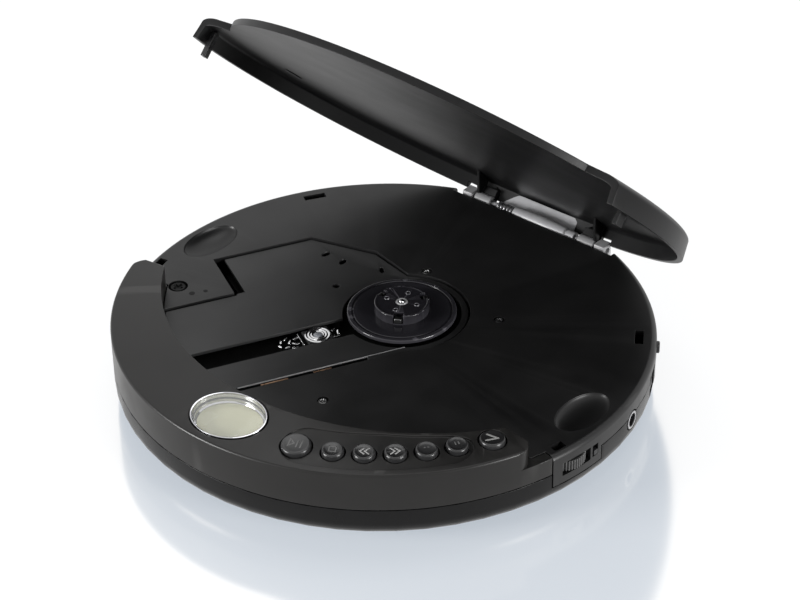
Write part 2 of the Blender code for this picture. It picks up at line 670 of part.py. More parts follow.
def build_lower_case():
    centre = (BASE_RADIUS, SIDE_BOTTOM_Z)
    half = (BODY_RADIUS - BASE_RADIUS, SIDE_BOTTOM_Z - FLOOR_Z)
    inner_half = (half[0] - WALL, half[1] - WALL)
    inner = ellipse(centre, inner_half, -TURN / 4, 0.0, 4)
    outer = ellipse(centre, half, 0.0, -TURN / 4, 6)
    case = turned("lower_case", [(0.0, FLOOR_TOP_Z), *inner, (INNER_RADIUS, SEAM_LOW_Z),
                                 (BODY_RADIUS, SEAM_LOW_Z), *outer, (0.0, FLOOR_Z)])
    rails_low = (-DOOR_HALF - BAY_WALL * 2, DOOR_Y - BAY_WALL * 2, FLOOR_Z + BITE)
    rails_high = (DOOR_HALF + BAY_WALL * 2, BAY_Y[1] + BAY_WALL * 2, RAIL_TOP_Z)
    join(case, box("door_rails", rails_low, rails_high, True))
    wall_low = (-BAY_HALF - BAY_WALL, BAY_Y[0] - BAY_WALL, RAIL_TOP_Z - BITE)
    wall_high = (BAY_HALF + BAY_WALL, BAY_Y[1] + BAY_WALL, BAY_TOP_Z)
    join(case, box("bay_walls", wall_low, wall_high, True))
    hollow_high = (BAY_HALF, BAY_Y[1], BAY_TOP_Z + OVER)
    cut(case, box("bay_hollow", (-BAY_HALF, BAY_Y[0], -OVER), hollow_high, True))
    channel_high = (DOOR_HALF + GAP, BODY_RADIUS + OVER, FLOOR_Z + DOOR_THICK + GAP)
    cut(case, box("door_channel", (-DOOR_HALF - GAP, DOOR_Y - GAP, -OVER), channel_high, True))
    for i, (along, side) in enumerate(DAMPER_PLACES):
        foot_top = CHASSIS_Z - GAP - DAMPER_LIP - GAP
        foot = cylinder(f"damper_foot_{i}", POST_FOOT_RADIUS, FLOOR_TOP_Z - BITE, foot_top,
                        (along, side), SMALL_SIDES, True, MECHANISM)
        pin = cylinder(f"damper_pin_{i}", POST_PIN_RADIUS, foot_top - BITE,
                       CHASSIS_TOP_Z + GAP + DAMPER_LIP, (along, side), SMALL_SIDES, True, MECHANISM)
        join(case, foot, pin)
    for i, azimuth in enumerate(BOARD_POST_AZIMUTHS):
        centre = polar(BOARD_POST_RING, math.radians(azimuth))
        join(case, cylinder(f"board_post_{i}", BOARD_POST_RADIUS, FLOOR_TOP_Z - BITE, KEY_BOARD_Z - GAP,
                            centre, SMALL_SIDES, True))
    for i, centre in enumerate(BOARD_PEGS):
        join(case, cylinder(f"board_peg_{i}", PEG_RADIUS, FLOOR_TOP_Z - BITE, BOARD_Z - GAP,
                            centre, SMALL_SIDES, True))
    for name, centre in CASE_SCREWS.items():
        join(case, cylinder(name + "_boss", CASE_BOSS_RADIUS, FLOOR_TOP_Z - BITE, CASE_BOSS_SPLIT_Z,
                            centre, SMALL_SIDES, True))
        head_top = FLOOR_Z + CASE_HEAD_HEIGHT + GAP * 2
        cut(case, cylinder(name + "_sink", CASE_HEAD_RADIUS + GAP, -OVER, head_top, centre,
                           SMALL_SIDES, True))
        cut(case, cylinder(name + "_bore", CASE_SHANK_RADIUS + RUN, -OVER, DECK_Z, centre,
                           SMALL_SIDES, True))
    for corner, azimuth in FOOT_AZIMUTHS.items():
        centre = polar(FOOT_RING, math.radians(azimuth))
        cut(case, cylinder("foot_seat_" + corner, FOOT_RADIUS + GAP, -OVER, FLOOR_Z + FOOT_SUNK + GAP,
                           centre, ROUND_SIDES, True))
    grow = GAP / BODY_RADIUS
    tab = (TAB_AZIMUTHS[0] - grow, TAB_AZIMUTHS[1] + grow)
    cut(case, prism("tab_notch", ring_sector((INNER_RADIUS - OVER, BODY_RADIUS + OVER), tab, 8),
                    TAB_Z, DECK_Z, True))
    cut(case, socket_cutter("jack_hole_low", JACK_AZIMUTH, JACK_Z, JACK_RADIUS + GAP),
        slot_cutter("dc_hole_low", DC_AZIMUTH, DC_Z, DC_BODY[1] / 2 + GAP, DC_BODY[2] / 2 + GAP,
                    INNER_RADIUS - OVER * 3))
    paint(case, CHARCOAL, 0.55)


def side_frame(name, azimuth, height):
    """A frame on the body's axis whose +X points outward at an azimuth."""
    return frame(name, (0.0, 0.0, height), (0.0, 0.0, azimuth))


def socket_cutter(name, azimuth, height, radius):
    return cylinder(name, radius, INNER_RADIUS - OVER * 3, BODY_RADIUS + OVER, (0.0, 0.0), SMALL_SIDES,
                    True, side_frame(name + "_frame", azimuth, height), axis="X")


def slot_cutter(name, azimuth, height, half_width, half_height, start):
    low = (start, -half_width, -half_height)
    high = (BODY_RADIUS + OVER * 2, half_width, half_height)
    return box(name, low, high, True, side_frame(name + "_frame", azimuth, height))


def build_upper_case():
    case = turned("upper_case", deck_profile(TAB_Z + GAP))
    round_again = (TAB_AZIMUTHS[1], TAB_AZIMUTHS[0] + TURN)
    wide = (INNER_RADIUS - OVER, BODY_RADIUS + OVER)
    below = prism("below_seam", ring_sector(wide, round_again, BODY_SIDES), TAB_Z - OVER, SEAM_HIGH_Z, True)
    cut(case, below)
    pocket_half = POCKET_HALF + POCKET_WALL
    block = box("pocket_block", (-pocket_half, POCKET_Y - POCKET_WALL, SEAM_HIGH_Z + STEP),
                (pocket_half, BODY_RADIUS, DECK_UNDER_Z + BITE), True)
    keep(block, cylinder("pocket_round", INNER_RADIUS + BITE, 0.0, DECK_Z, sides=BODY_SIDES,
                         cutter=True))
    join(case, block)
    for side in (-1, 1):
        centre = (side * SCOOP_X, SCOOP_Y, DECK_Z)
        half = (SCOOP_HALF_WIDTH, SCOOP_HALF_LENGTH, SCOOP_DEPTH)
        grown = [value + SCOOP_WALL for value in half]
        shell = ball(f"scoop_shell_{side}", grown, centre, True)
        cut(shell, box(f"scoop_trim_{side}", (centre[0] - SCOOP_X, -BODY_RADIUS, DECK_Z - BITE),
                       (centre[0] + SCOOP_X, BODY_RADIUS, DECK_Z + SCOOP_DEPTH * 2), True))
        keep(shell, cylinder(f"scoop_round_{side}", INNER_RADIUS + BITE, 0.0, DECK_Z,
                             sides=BODY_SIDES, cutter=True))
        join(case, shell)
        cut(case, ball(f"scoop_hollow_{side}", half, centre, True))
    for name, (x, y, head) in DECK_SCREWS.items():
        join(case, cylinder(name + "_boss", head + DECK_BOSS_WALL, DECK_UNDER_Z - DECK_BOSS_DEPTH,
                            DECK_UNDER_Z + BITE, (x, y), SMALL_SIDES, True))
    for name, centre in CASE_SCREWS.items():
        join(case, cylinder(name + "_pillar", CASE_BOSS_RADIUS, CASE_BOSS_SPLIT_Z + GAP,
                            DECK_UNDER_Z + BITE, centre, SMALL_SIDES, True))
    cut(case, prism("crescent_gap", crescent_outline(GAP), -OVER, CREASE_Z * 2, True))
    joint_radii = (INNER_RADIUS - SHOULDER, BODY_RADIUS + OVER)
    cut(case, *both_joints(0.0, CREASE_Z, joint_radii, GAP, "joint_gap"))
    cut(case, prism("deck_opening", opening_outline(0.0), DECK_UNDER_Z - OVER, DECK_Z + OVER, True,
                    MECHANISM))
    pocket_high = (POCKET_HALF, BODY_RADIUS + OVER, DECK_Z + OVER)
    cut(case, box("hinge_pocket", (-POCKET_HALF, POCKET_Y, POCKET_Z), pocket_high, True))
    for side in (-1, 1):
        inner, outer = sorted((side * LUG_INNER_X, side * (LUG_INNER_X + LUG_THICK)))
        lug = box(f"lug_{side}", (inner, HINGE_Y - LUG_HALF, POCKET_Z - BITE * 2),
                  (outer, HINGE_Y + LUG_HALF, HINGE_Z + LUG_HALF), True)
        join(case, soften(lug, GAP, 1))
    cut(case, cylinder("pin_bores", PIN_RADIUS + RUN, -SHAFT_END_X - GAP, SHAFT_END_X + GAP,
                       (HINGE_Y, HINGE_Z), SMALL_SIDES, True, axis="X"))
    for i, azimuth in enumerate(REAR_SLOT_AZIMUTHS):
        half = (REAR_SLOT_WIDTH / 2, REAR_SLOT_LENGTH / 2)
        low = (REAR_SLOT_RING - half[0], -half[1], DECK_UNDER_Z - OVER)
        high = (REAR_SLOT_RING + half[0], half[1], DECK_Z + OVER)
        cut(case, box(f"rear_slot_{i}", low, high, True, turn=math.radians(azimuth)))
    for name, azimuth in (("latch_notch", LATCH_AZIMUTH), ("switch_notch", SWITCH_TAB_AZIMUTH)):
        half = (LATCH_THICK / 2 + LATCH_PLAY, LATCH_WIDTH / 2 + LATCH_PLAY)
        low = (LATCH_RING - half[0], -half[1], DECK_UNDER_Z - OVER)
        high = (LATCH_RING + half[0], half[1], DECK_Z + OVER)
        cut(case, box(name, low, high, True, turn=math.radians(azimuth)))
    for name, (x, y, head) in DECK_SCREWS.items():
        cut(case, cylinder(name + "_sink", head + GAP, DECK_Z - head * CROSS_SHARE - GAP, DECK_Z + OVER,
                           (x, y), SMALL_SIDES, True))
        cut(case, cylinder(name + "_bore", head * CROSS_SHARE + RUN, DECK_UNDER_Z - DECK_BOSS_DEPTH - OVER,
                           DECK_Z, (x, y), SMALL_SIDES, True))
    for name, centre in CASE_SCREWS.items():
        cut(case, cylinder(name + "_pilot", CASE_SHANK_RADIUS + RUN, 0.0, CASE_SHANK_TOP_Z + GAP,
                           centre, SMALL_SIDES, True))
    cut(case, socket_cutter("jack_hole_high", JACK_AZIMUTH, JACK_Z, JACK_RADIUS + GAP),
        slot_cutter("dc_hole_high", DC_AZIMUTH, DC_Z, DC_BODY[1] / 2 + GAP, DC_BODY[2] / 2 + GAP,
                    INNER_RADIUS - OVER * 3),
        slot_cutter("wheel_window", WHEEL_AZIMUTH, SEAM_Z, WINDOW_WIDTH / 2, WINDOW_HEIGHT / 2,
                    INNER_RADIUS - OVER * 3),
        slot_cutter("switch_slot", SWITCH_AZIMUTH, SWITCH_Z, SWITCH_WIDTH / 2 + GAP,
                    SWITCH_SLOT_HEIGHT / 2, INNER_RADIUS - OVER))
    nub = box("strap_nub", (INNER_RADIUS + BITE, -NUB_WIDTH / 2, -NUB_HEIGHT / 2),
              (BODY_RADIUS + NUB_PROUD, NUB_WIDTH / 2, NUB_HEIGHT / 2), True,
              side_frame("nub_frame", NUB_AZIMUTH, NUB_Z))
    join(case, soften(nub, BITE, 1))
    paint(case, CHARCOAL, 0.55)


def build_control_panel():
    rim = ellipse((BODY_RADIUS - CREASE_ROUND, CREASE_Z - CREASE_ROUND), (CREASE_ROUND, CREASE_ROUND),
                  TURN / 5, 0.0, 3)
    panel = turned("control_panel", [(0.0, panel_top(0.0)), *rim, (BODY_RADIUS, SEAM_HIGH_Z),
                                     (INNER_RADIUS, SEAM_HIGH_Z), (INNER_RADIUS, PANEL_WALL_Z),
                                     (0.0, PANEL_WALL_Z)])
    crescent = prism("crescent", crescent_outline(0.0), 0.0, CREASE_Z * 2, True)
    skirts = both_joints(STEP, DECK_Z, (INNER_RADIUS - SHOULDER + GAP, BODY_RADIUS + OVER), 0.0, "joint")
    keep(panel, join(crescent, *skirts))
    hollow_radius = INNER_RADIUS - STEP
    hollow = turned("panel_hollow", [
        (0.0, panel_top(0.0) - WALL), (hollow_radius, panel_top(hollow_radius) - WALL),
        (hollow_radius, SEAM_Z), (0.0, SEAM_Z)], cutter=True)
    keep(hollow, prism("crescent_inside", crescent_outline(-WALL), 0.0, CREASE_Z * 2, True))
    cut(panel, hollow)
    for name, spot in KEY_SPOTS.items():
        radius = key_radius(name) + GAP
        cut(panel, cylinder(name + "_well", radius, -WALL * 2, CREASE_Z, parent=spot, cutter=True),
            cylinder(name + "_relief", radius + KEY_FLANGE, -WALL * 3, -WALL - GAP, parent=spot,
                     cutter=True))
    cut(panel, cylinder("open_button_well", OPEN_RADIUS + GAP, -CREASE_Z, CREASE_Z, parent=OPEN_SPOT,
                        cutter=True))
    spot = DISPLAY_SPOT
    half = (DISPLAY_HALF_SHORT + GAP, DISPLAY_HALF_LONG + GAP)
    cut(panel, cylinder("display_well", 0.0, -BEZEL_HEIGHT - OVER, CREASE_Z, sides=OVAL_SIDES, cutter=True,
                        parent=spot, half=half))
    paint(panel, PANEL_GREY, 0.4)


def panel_spot(name, ring, azimuth, tilt):
    """A frame on the crescent's top, +X down its slope and +Z out of it."""
    angle = math.radians(azimuth)
    x, y = polar(ring, angle)
    return frame(name + "_frame", (x, y, panel_top(ring)), (0.0, tilt, angle))


KEY_SPOTS = {name: panel_spot(name, KEY_RING, azimuth, PANEL_TILT)
             for name, azimuth in KEY_AZIMUTHS.items()}
OPEN_SPOT = panel_spot("open_button", OPEN_RING, OPEN_AZIMUTH, 0.0)
DISPLAY_SPOT = panel_spot("display", DISPLAY_RADIUS, -90.0, PANEL_TILT)


def key_radius(name):
    return PLAY_RADIUS if name == "play_button" else KEY_RADIUS


def build_keys():
    for name, spot in KEY_SPOTS.items():
        radius = key_radius(name)
        flange_top = -WALL - GAP * 2
        flange_low = flange_top - KEY_FLANGE_THICK
        top = spot.location.z
        stem_low = -(top - MEMBRANE_Z - MEMBRANE_THICK - KEY_TRAVEL) / math.cos(PANEL_TILT) + GAP * 2
        stem = radius * KEY_STEM_SHARE
        profile = [(0.0, KEY_PROUD), (radius - KEY_ROUND, KEY_PROUD), (radius, KEY_PROUD - KEY_ROUND),
                   (radius, flange_top), (radius + KEY_FLANGE, flange_top),
                   (radius + KEY_FLANGE, flange_low), (stem, flange_low), (stem, stem_low), (0.0, stem_low)]
        paint(turned(name, profile, ROUND_SIDES, parent=spot), BLACK, 0.3)
    low = -(OPEN_SPOT.location.z - SLIDER_Z - SLIDER_THICK - OPEN_TRAVEL) + GAP
    skirt = -WALL * 2
    stem = OPEN_RADIUS * KEY_STEM_SHARE
    profile = [(0.0, KEY_PROUD), (OPEN_RADIUS - KEY_ROUND, KEY_PROUD), (OPEN_RADIUS, KEY_PROUD - KEY_ROUND),
               (OPEN_RADIUS, skirt), (stem, skirt), (stem, low), (0.0, low)]
    paint(turned("open_button", profile, ROUND_SIDES, parent=OPEN_SPOT), BLACK, 0.3)
    membrane = prism("button_membrane", ring_sector(MEMBRANE_RADII, MEMBRANE_AZIMUTHS, 10),
                     MEMBRANE_Z, MEMBRANE_Z + MEMBRANE_THICK)
    inside = prism("inside_crescent", crescent_outline(-WALL - GAP), 0.0, CREASE_Z * 2, True)
    paint(keep(membrane, inside), (0.25, 0.25, 0.25), 0.8)
    board = prism("key_board", ring_sector(KEY_BOARD_RADII, KEY_BOARD_AZIMUTHS, 20),
                  KEY_BOARD_Z, KEY_BOARD_Z + KEY_BOARD_THICK)
    paint(keep(board, inside), GREEN, 0.5)


def build_display():
    spot = DISPLAY_SPOT
    outer = (DISPLAY_HALF_SHORT, DISPLAY_HALF_LONG)
    seat = tuple(value - BEZEL_RIM for value in outer)
    through = tuple(value - BEZEL_LEDGE for value in seat)
    bottom = BEZEL_PROUD - BEZEL_HEIGHT
    window_top = BEZEL_PROUD - WINDOW_DROP
    window_low = window_top - WINDOW_THICK
    lcd_top = bottom + LCD_THICK
    bezel = cylinder("display_bezel", 0.0, bottom, BEZEL_PROUD, sides=OVAL_SIDES, parent=spot, half=outer)
    cut(bezel, cylinder("window_seat", 0.0, window_low - GAP, OVER * 2, sides=OVAL_SIDES, cutter=True,
                        parent=spot, half=seat),
        cylinder("bezel_through", 0.0, bottom - OVER, OVER, sides=OVAL_SIDES, cutter=True, parent=spot,
                 half=through),
        cylinder("lcd_seat", 0.0, bottom - OVER * 2, lcd_top + GAP, sides=OVAL_SIDES, cutter=True,
                 parent=spot, half=seat))
    paint(bezel, (0.3, 0.3, 0.31), 0.25, 0.9)
    fit = tuple(value - GAP for value in seat)
    window = cylinder("display_window", 0.0, window_low, window_top, sides=OVAL_SIDES, parent=spot, half=fit)
    paint(window, (0.9, 0.92, 0.9), 0.05, alpha=0.3)
    lcd = cylinder("lcd_panel", 0.0, bottom, lcd_top, sides=OVAL_SIDES, parent=spot, half=fit)
    paint(lcd, (0.62, 0.63, 0.52), 0.4)


def build_turntable():
    spindle = frame("spindle", (0.0, DISC_Y, 0.0))
    top = DISC_PLANE_Z + HUB_HEIGHT
    dish = top - HUB_DISH_DEPTH
    bore = SHAFT_RADIUS + RUN
    table = turned("turntable", [
        (bore, dish), (HUB_DISH_RADIUS, dish), (HUB_DISH_RADIUS, top), (HUB_RADIUS - HUB_CHAMFER, top),
        (HUB_RADIUS, top - HUB_CHAMFER), (HUB_RADIUS, DISC_PLANE_Z), (TURNTABLE_RADIUS, DISC_PLANE_Z),
        (TURNTABLE_RADIUS, DISC_PLANE_Z - TURNTABLE_THICK), (NECK_RADIUS, DISC_PLANE_Z - TURNTABLE_THICK),
        (NECK_RADIUS, NECK_Z), (bore, NECK_Z)], OVAL_SIDES, parent=spindle)
    claw_end = HUB_RADIUS + CLAW_REACH
    half = CLAW_WIDTH / 2
    for i in range(CLAW_COUNT):
        turn = PATH_AZIMUTH + TURN * (i + 0.5) / CLAW_COUNT
        slot_low = (claw_end - CLAW_DEPTH - CLAW_REACH - GAP * 2, -half - GAP, CLAW_Z - GAP)
        slot_high = (claw_end + OVER, half + GAP, CLAW_Z + CLAW_HEIGHT + GAP)
        cut(table, box(f"claw_slot_{i}", slot_low, slot_high, True, spindle, turn))
        claw = box(f"disc_claw_{i + 1}", (claw_end - CLAW_DEPTH, -half, CLAW_Z),
                   (claw_end, half, CLAW_Z + CLAW_HEIGHT), parent=spindle, turn=turn)
        paint(soften(claw, GAP, 1), BLACK, 0.35)
    paint(table, (0.05, 0.05, 0.055), 0.3)
    motor_top = CHASSIS_Z - GAP
    shaft = cylinder("spindle_shaft", SHAFT_RADIUS, motor_top + GAP, SHAFT_TOP_Z, sides=SMALL_SIDES,
                     parent=spindle)
    paint(shaft, STEEL, 0.2, 1.0)
    motor = turned("spindle_motor", [
        (0.0, motor_top), (MOTOR_RADIUS - BITE, motor_top), (MOTOR_RADIUS, motor_top - BITE),
        (MOTOR_RADIUS, motor_top - MOTOR_HEIGHT), (0.0, motor_top - MOTOR_HEIGHT)],
        ROUND_SIDES, parent=spindle)
    paint(motor, STEEL, 0.35, 1.0)


def build_mechanism():
    reach = FAR_POST_ALONG + POST_THICK
    side = OPENING_SIDE + BAY_WALL
    plate_end = reach - STEP
    outline = [(plate_end, side), (-OPENING_RADIUS, side), (-OPENING_RADIUS, -OPENING_RADIUS),
               (BAY_NEAR, -BAY_SIDE + WALL), (BAY_FAR - WIDE_GAP, -BAY_SIDE + WALL),
               (BAY_FAR - WIDE_GAP, -OPENING_BACK + WALL), (plate_end, -OPENING_BACK + WALL)]
    chassis = prism("mechanism_chassis", outline, CHASSIS_Z, CHASSIS_TOP_Z, parent=MECHANISM)
    posts = []
    for along in (NEAR_POST_ALONG, FAR_POST_ALONG):
        for middle in (-RAIL_SIDE, RAIL_SIDE):
            posts.append(box(f"rail_post_{len(posts)}", (along, middle - POST_HALF, CHASSIS_TOP_Z - BITE),
                             (along + POST_THICK, middle + POST_HALF, RAIL_Z + POST_HALF - BITE),
                             True, MECHANISM))
    join(chassis, *posts)
    cut(chassis, cylinder("spindle_hole", NECK_RADIUS + GAP, 0.0, DECK_Z, cutter=True, parent=MECHANISM))
    for i, centre in enumerate(DAMPER_PLACES):
        cut(chassis, cylinder(f"damper_hole_{i}", DAMPER_NECK + GAP, 0.0, DECK_Z, centre, SMALL_SIDES,
                              True, MECHANISM))
        low = CHASSIS_Z - GAP - DAMPER_LIP
        high = CHASSIS_TOP_Z + GAP + DAMPER_LIP
        bush = frame(f"damper_frame_{i}", (centre[0], centre[1], 0.0), parent=MECHANISM)
        damper = turned(f"damper_{i + 1}", [
            (DAMPER_BORE, high), (DAMPER_RADIUS, high), (DAMPER_RADIUS, high - DAMPER_LIP),
            (DAMPER_NECK, high - DAMPER_LIP), (DAMPER_NECK, low + DAMPER_LIP),
            (DAMPER_RADIUS, low + DAMPER_LIP), (DAMPER_RADIUS, low), (DAMPER_BORE, low)],
            SMALL_SIDES, parent=bush)
        paint(damper, (0.02, 0.02, 0.02), 0.9)
    bores = (("rail", -RAIL_SIDE, RAIL_RADIUS + RUN), ("screw", RAIL_SIDE, SCREW_RADIUS + RUN))
    for name, middle, bore in bores:
        cut(chassis, cylinder(name + "_bore", bore, NEAR_POST_ALONG + BITE, reach + OVER, (middle, RAIL_Z),
                              SMALL_SIDES, True, MECHANISM, axis="X"))
    paint(chassis, (0.03, 0.03, 0.03), 0.5)

    cover = prism("mechanism_cover", opening_outline(COVER_GAP), COVER_Z, COVER_TOP_Z, parent=MECHANISM)
    cut(cover, cylinder("cover_bore", COVER_BORE, 0.0, DECK_Z, sides=OVAL_SIDES, cutter=True,
                        parent=MECHANISM),
        box("pickup_slot", (0.0, -SLOT_HALF, 0.0), (OPENING_REACH + OVER, SLOT_HALF, DECK_Z), True,
            MECHANISM),
        box("bay_gap", (BAY_FAR - WIDE_GAP, -BAY_SIDE - OVER, 0.0), (BAY_FAR + OVER, -OPENING_BACK, DECK_Z),
            True, MECHANISM),
        prism("cover_front", crescent_outline(COVER_GAP), 0.0, DECK_Z * 2, True))
    paint(cover, (0.055, 0.055, 0.055), 0.45)

    sled_low = LENS_ALONG - SLED_LENGTH / 2
    sled_high = LENS_ALONG + SLED_LENGTH / 2
    sled_top = SLED_Z + SLED_HEIGHT
    sled = box("pickup_sled", (sled_low, -SLED_SIDE, SLED_Z), (sled_high, SLED_SIDE, sled_top),
               parent=MECHANISM)
    for name, middle, bore in bores:
        join(sled, box(name + "_bearing", (sled_low, middle - BEARING_HALF, SLED_Z),
                       (sled_high, middle + BEARING_HALF, SLED_Z + BEARING_HEIGHT), True, MECHANISM))
        cut(sled, cylinder("sled_" + name, bore, sled_low - OVER, sled_high + OVER, (middle, RAIL_Z),
                           SMALL_SIDES, True, MECHANISM, axis="X"))
    paint(sled, (0.1, 0.1, 0.1), 0.4)
    rail_start = NEAR_POST_ALONG + BITE + GAP
    paint(cylinder("guide_rail", RAIL_RADIUS, rail_start, reach, (-RAIL_SIDE, RAIL_Z), SMALL_SIDES,
                   parent=MECHANISM, axis="X"), STEEL, 0.2, 1.0)
    screw_axis = frame("feed_screw_axis", (0.0, RAIL_SIDE, RAIL_Z), parent=MECHANISM)
    paint(cylinder("feed_screw", SCREW_RADIUS, rail_start, reach, (0.0, 0.0), SMALL_SIDES,
                   parent=screw_axis, axis="X"), STEEL, 0.3, 1.0)
    paint(cylinder("feed_motor", FEED_MOTOR_RADIUS, reach + GAP, reach + GAP + FEED_MOTOR_LENGTH,
                   (RAIL_SIDE, RAIL_Z), ROUND_SIDES, parent=MECHANISM, axis="X"), STEEL, 0.35, 1.0)

    lens_axis = frame("lens_axis", (LENS_ALONG, 0.0, 0.0), parent=MECHANISM)
    holder = box("lens_holder", (-HOLDER_HALF_LENGTH, -HOLDER_HALF_WIDTH, HOLDER_Z),
                 (HOLDER_HALF_LENGTH, HOLDER_HALF_WIDTH, HOLDER_Z + HOLDER_THICK), parent=lens_axis)
    cut(holder, cylinder("lens_seat", LENS_RADIUS + GAP, HOLDER_Z - OVER, DECK_Z, cutter=True,
                         parent=lens_axis))
    paint(soften(holder, GAP, 1), BLACK, 0.4)
    lens_low = HOLDER_Z + GAP
    lens_top = lens_low + LENS_HEIGHT
    dome = ellipse((0.0, lens_top - BITE), (LENS_RADIUS, BITE), TURN / 4, 0.0, 3)
    lens = turned("objective_lens", [*dome, (LENS_RADIUS, lens_low), (0.0, lens_low)], ROUND_SIDES,
                  parent=lens_axis)
    paint(lens, (0.75, 0.85, 0.95), 0.05, alpha=0.6)


def lid_profile(inner):
    """Points of the lid's dome, shoulder and wall, from the axis to the lip."""
    drop = LID_PLATE if inner else 0.0
    wall = LID_WALL if inner else 0.0
    fall = (LID_TOP_Z - LID_SHOULDER_Z) / (LID_SHOULDER_RADIUS * LID_SHOULDER_RADIUS)
    shares = (0.0, 0.3, 0.55, 0.78, 1.0)
    shoulder_radius = LID_SHOULDER_RADIUS - wall
    dome = [(shoulder_radius * s, LID_TOP_Z - drop - fall * (shoulder_radius * s) ** 2) for s in shares]
    edge_z = dome[-1][1]
    half = (LID_CREASE_RADIUS - wall - shoulder_radius, edge_z - (LID_CREASE_Z - drop / 2))
    shoulder = ellipse((shoulder_radius, edge_z - half[1]), half, TURN / 4, 0.0, 4)
    return dome + shoulder[1:] + [(BODY_RADIUS - wall, LID_LIP_Z)]


def build_lid():
    shell = turned("lid_shell", lid_profile(False) + lid_profile(True)[::-1])
    outer_cut = prism("lid_front", crescent_outline(LID_CUT_GAP), 0.0, LID_TOP_Z * 2, True)
    moving = [shell, outer_cut]
    cut(shell, outer_cut)
    for side in (-1, 1):
        inner, outer = sorted((side * BARREL_INNER_X, side * BARREL_OUTER_X))
        arm = box(f"arm_{side}", (inner, HINGE_Y - BITE, HINGE_Z + BITE),
                  (outer, math.sqrt(BODY_RADIUS ** 2 - BARREL_OUTER_X ** 2) - BITE, ARM_TOP_Z), True)
        barrel = cylinder(f"barrel_{side}", BARREL_RADIUS, inner, outer, (HINGE_Y, HINGE_Z), ROUND_SIDES,
                          True, axis="X")
        web_in, web_out = sorted((side * (BARREL_OUTER_X - GUSSET_THICK), side * BARREL_OUTER_X))
        web_y = HINGE_Y - BARREL_RADIUS + BITE
        root_z = LID_SHOULDER_Z - LID_PLATE / 2
        web = prism(f"web_{side}", [
            (web_y, HINGE_Z + BARREL_RADIUS / 2), (HINGE_Y + BARREL_RADIUS, HINGE_Z + BITE),
            (HINGE_Y + BARREL_RADIUS, root_z), (web_y - GUSSET_REACH, root_z)], web_in, web_out, True)
        web.matrix_world = Matrix(((0, 0, 1, 0), (1, 0, 0, 0), (0, 1, 0, 0), (0, 0, 0, 1)))
        sweep_in, sweep_out = sorted((side * (LUG_INNER_X - GAP), side * (LUG_INNER_X + LUG_THICK + GAP)))
        sweep = box(f"lug_sweep_{side}", (sweep_in, HINGE_Y - LUG_SWEEP, 0.0),
                    (sweep_out, BODY_RADIUS, HINGE_Z + LUG_SWEEP), True)
        join(shell, arm, barrel, web)
        cut(shell, sweep)
        moving += [arm, barrel, web, sweep]
    bore = cylinder("barrel_bores", PIN_RADIUS + RUN, -BARREL_OUTER_X - OVER, BARREL_OUTER_X + OVER,
                    (HINGE_Y, HINGE_Z), SMALL_SIDES, True, axis="X")
    hook = box("latch_hook", (LATCH_RING - LATCH_THICK / 2, -LATCH_WIDTH / 2, LATCH_TIP_Z),
               (LATCH_RING + LATCH_THICK / 2, LATCH_WIDTH / 2, TAB_ROOT_Z), True,
               turn=math.radians(LATCH_AZIMUTH))
    cut(shell, bore)
    join(shell, hook)
    tab_gap = box("tab_gap", (LATCH_RING - LATCH_THICK / 2 - GAP, -LATCH_WIDTH / 2 - GAP, 0.0),
                  (LATCH_RING + LATCH_THICK / 2 + GAP, LATCH_WIDTH / 2 + GAP, TAB_ROOT_Z - LID_WALL), True,
                  turn=math.radians(SWITCH_TAB_AZIMUTH))
    cut(shell, tab_gap)
    tab = box("lid_switch_tab", (LATCH_RING - LATCH_THICK / 2, -LATCH_WIDTH / 2, LATCH_TIP_Z),
              (LATCH_RING + LATCH_THICK / 2, LATCH_WIDTH / 2, TAB_ROOT_Z - LID_WALL - GAP),
              turn=math.radians(SWITCH_TAB_AZIMUTH))
    paint(shell, PANEL_GREY, 0.35)
    paint(tab, (0.7, 0.72, 0.72), 0.15, alpha=0.6)
    moving += [bore, hook, tab_gap, tab]
    for obj in moving:
        obj.parent = HINGE
        obj.matrix_parent_inverse = Matrix.Translation((0.0, -HINGE_Y, -HINGE_Z))
    HINGE.rotation_euler.x = -OPEN_ANGLE


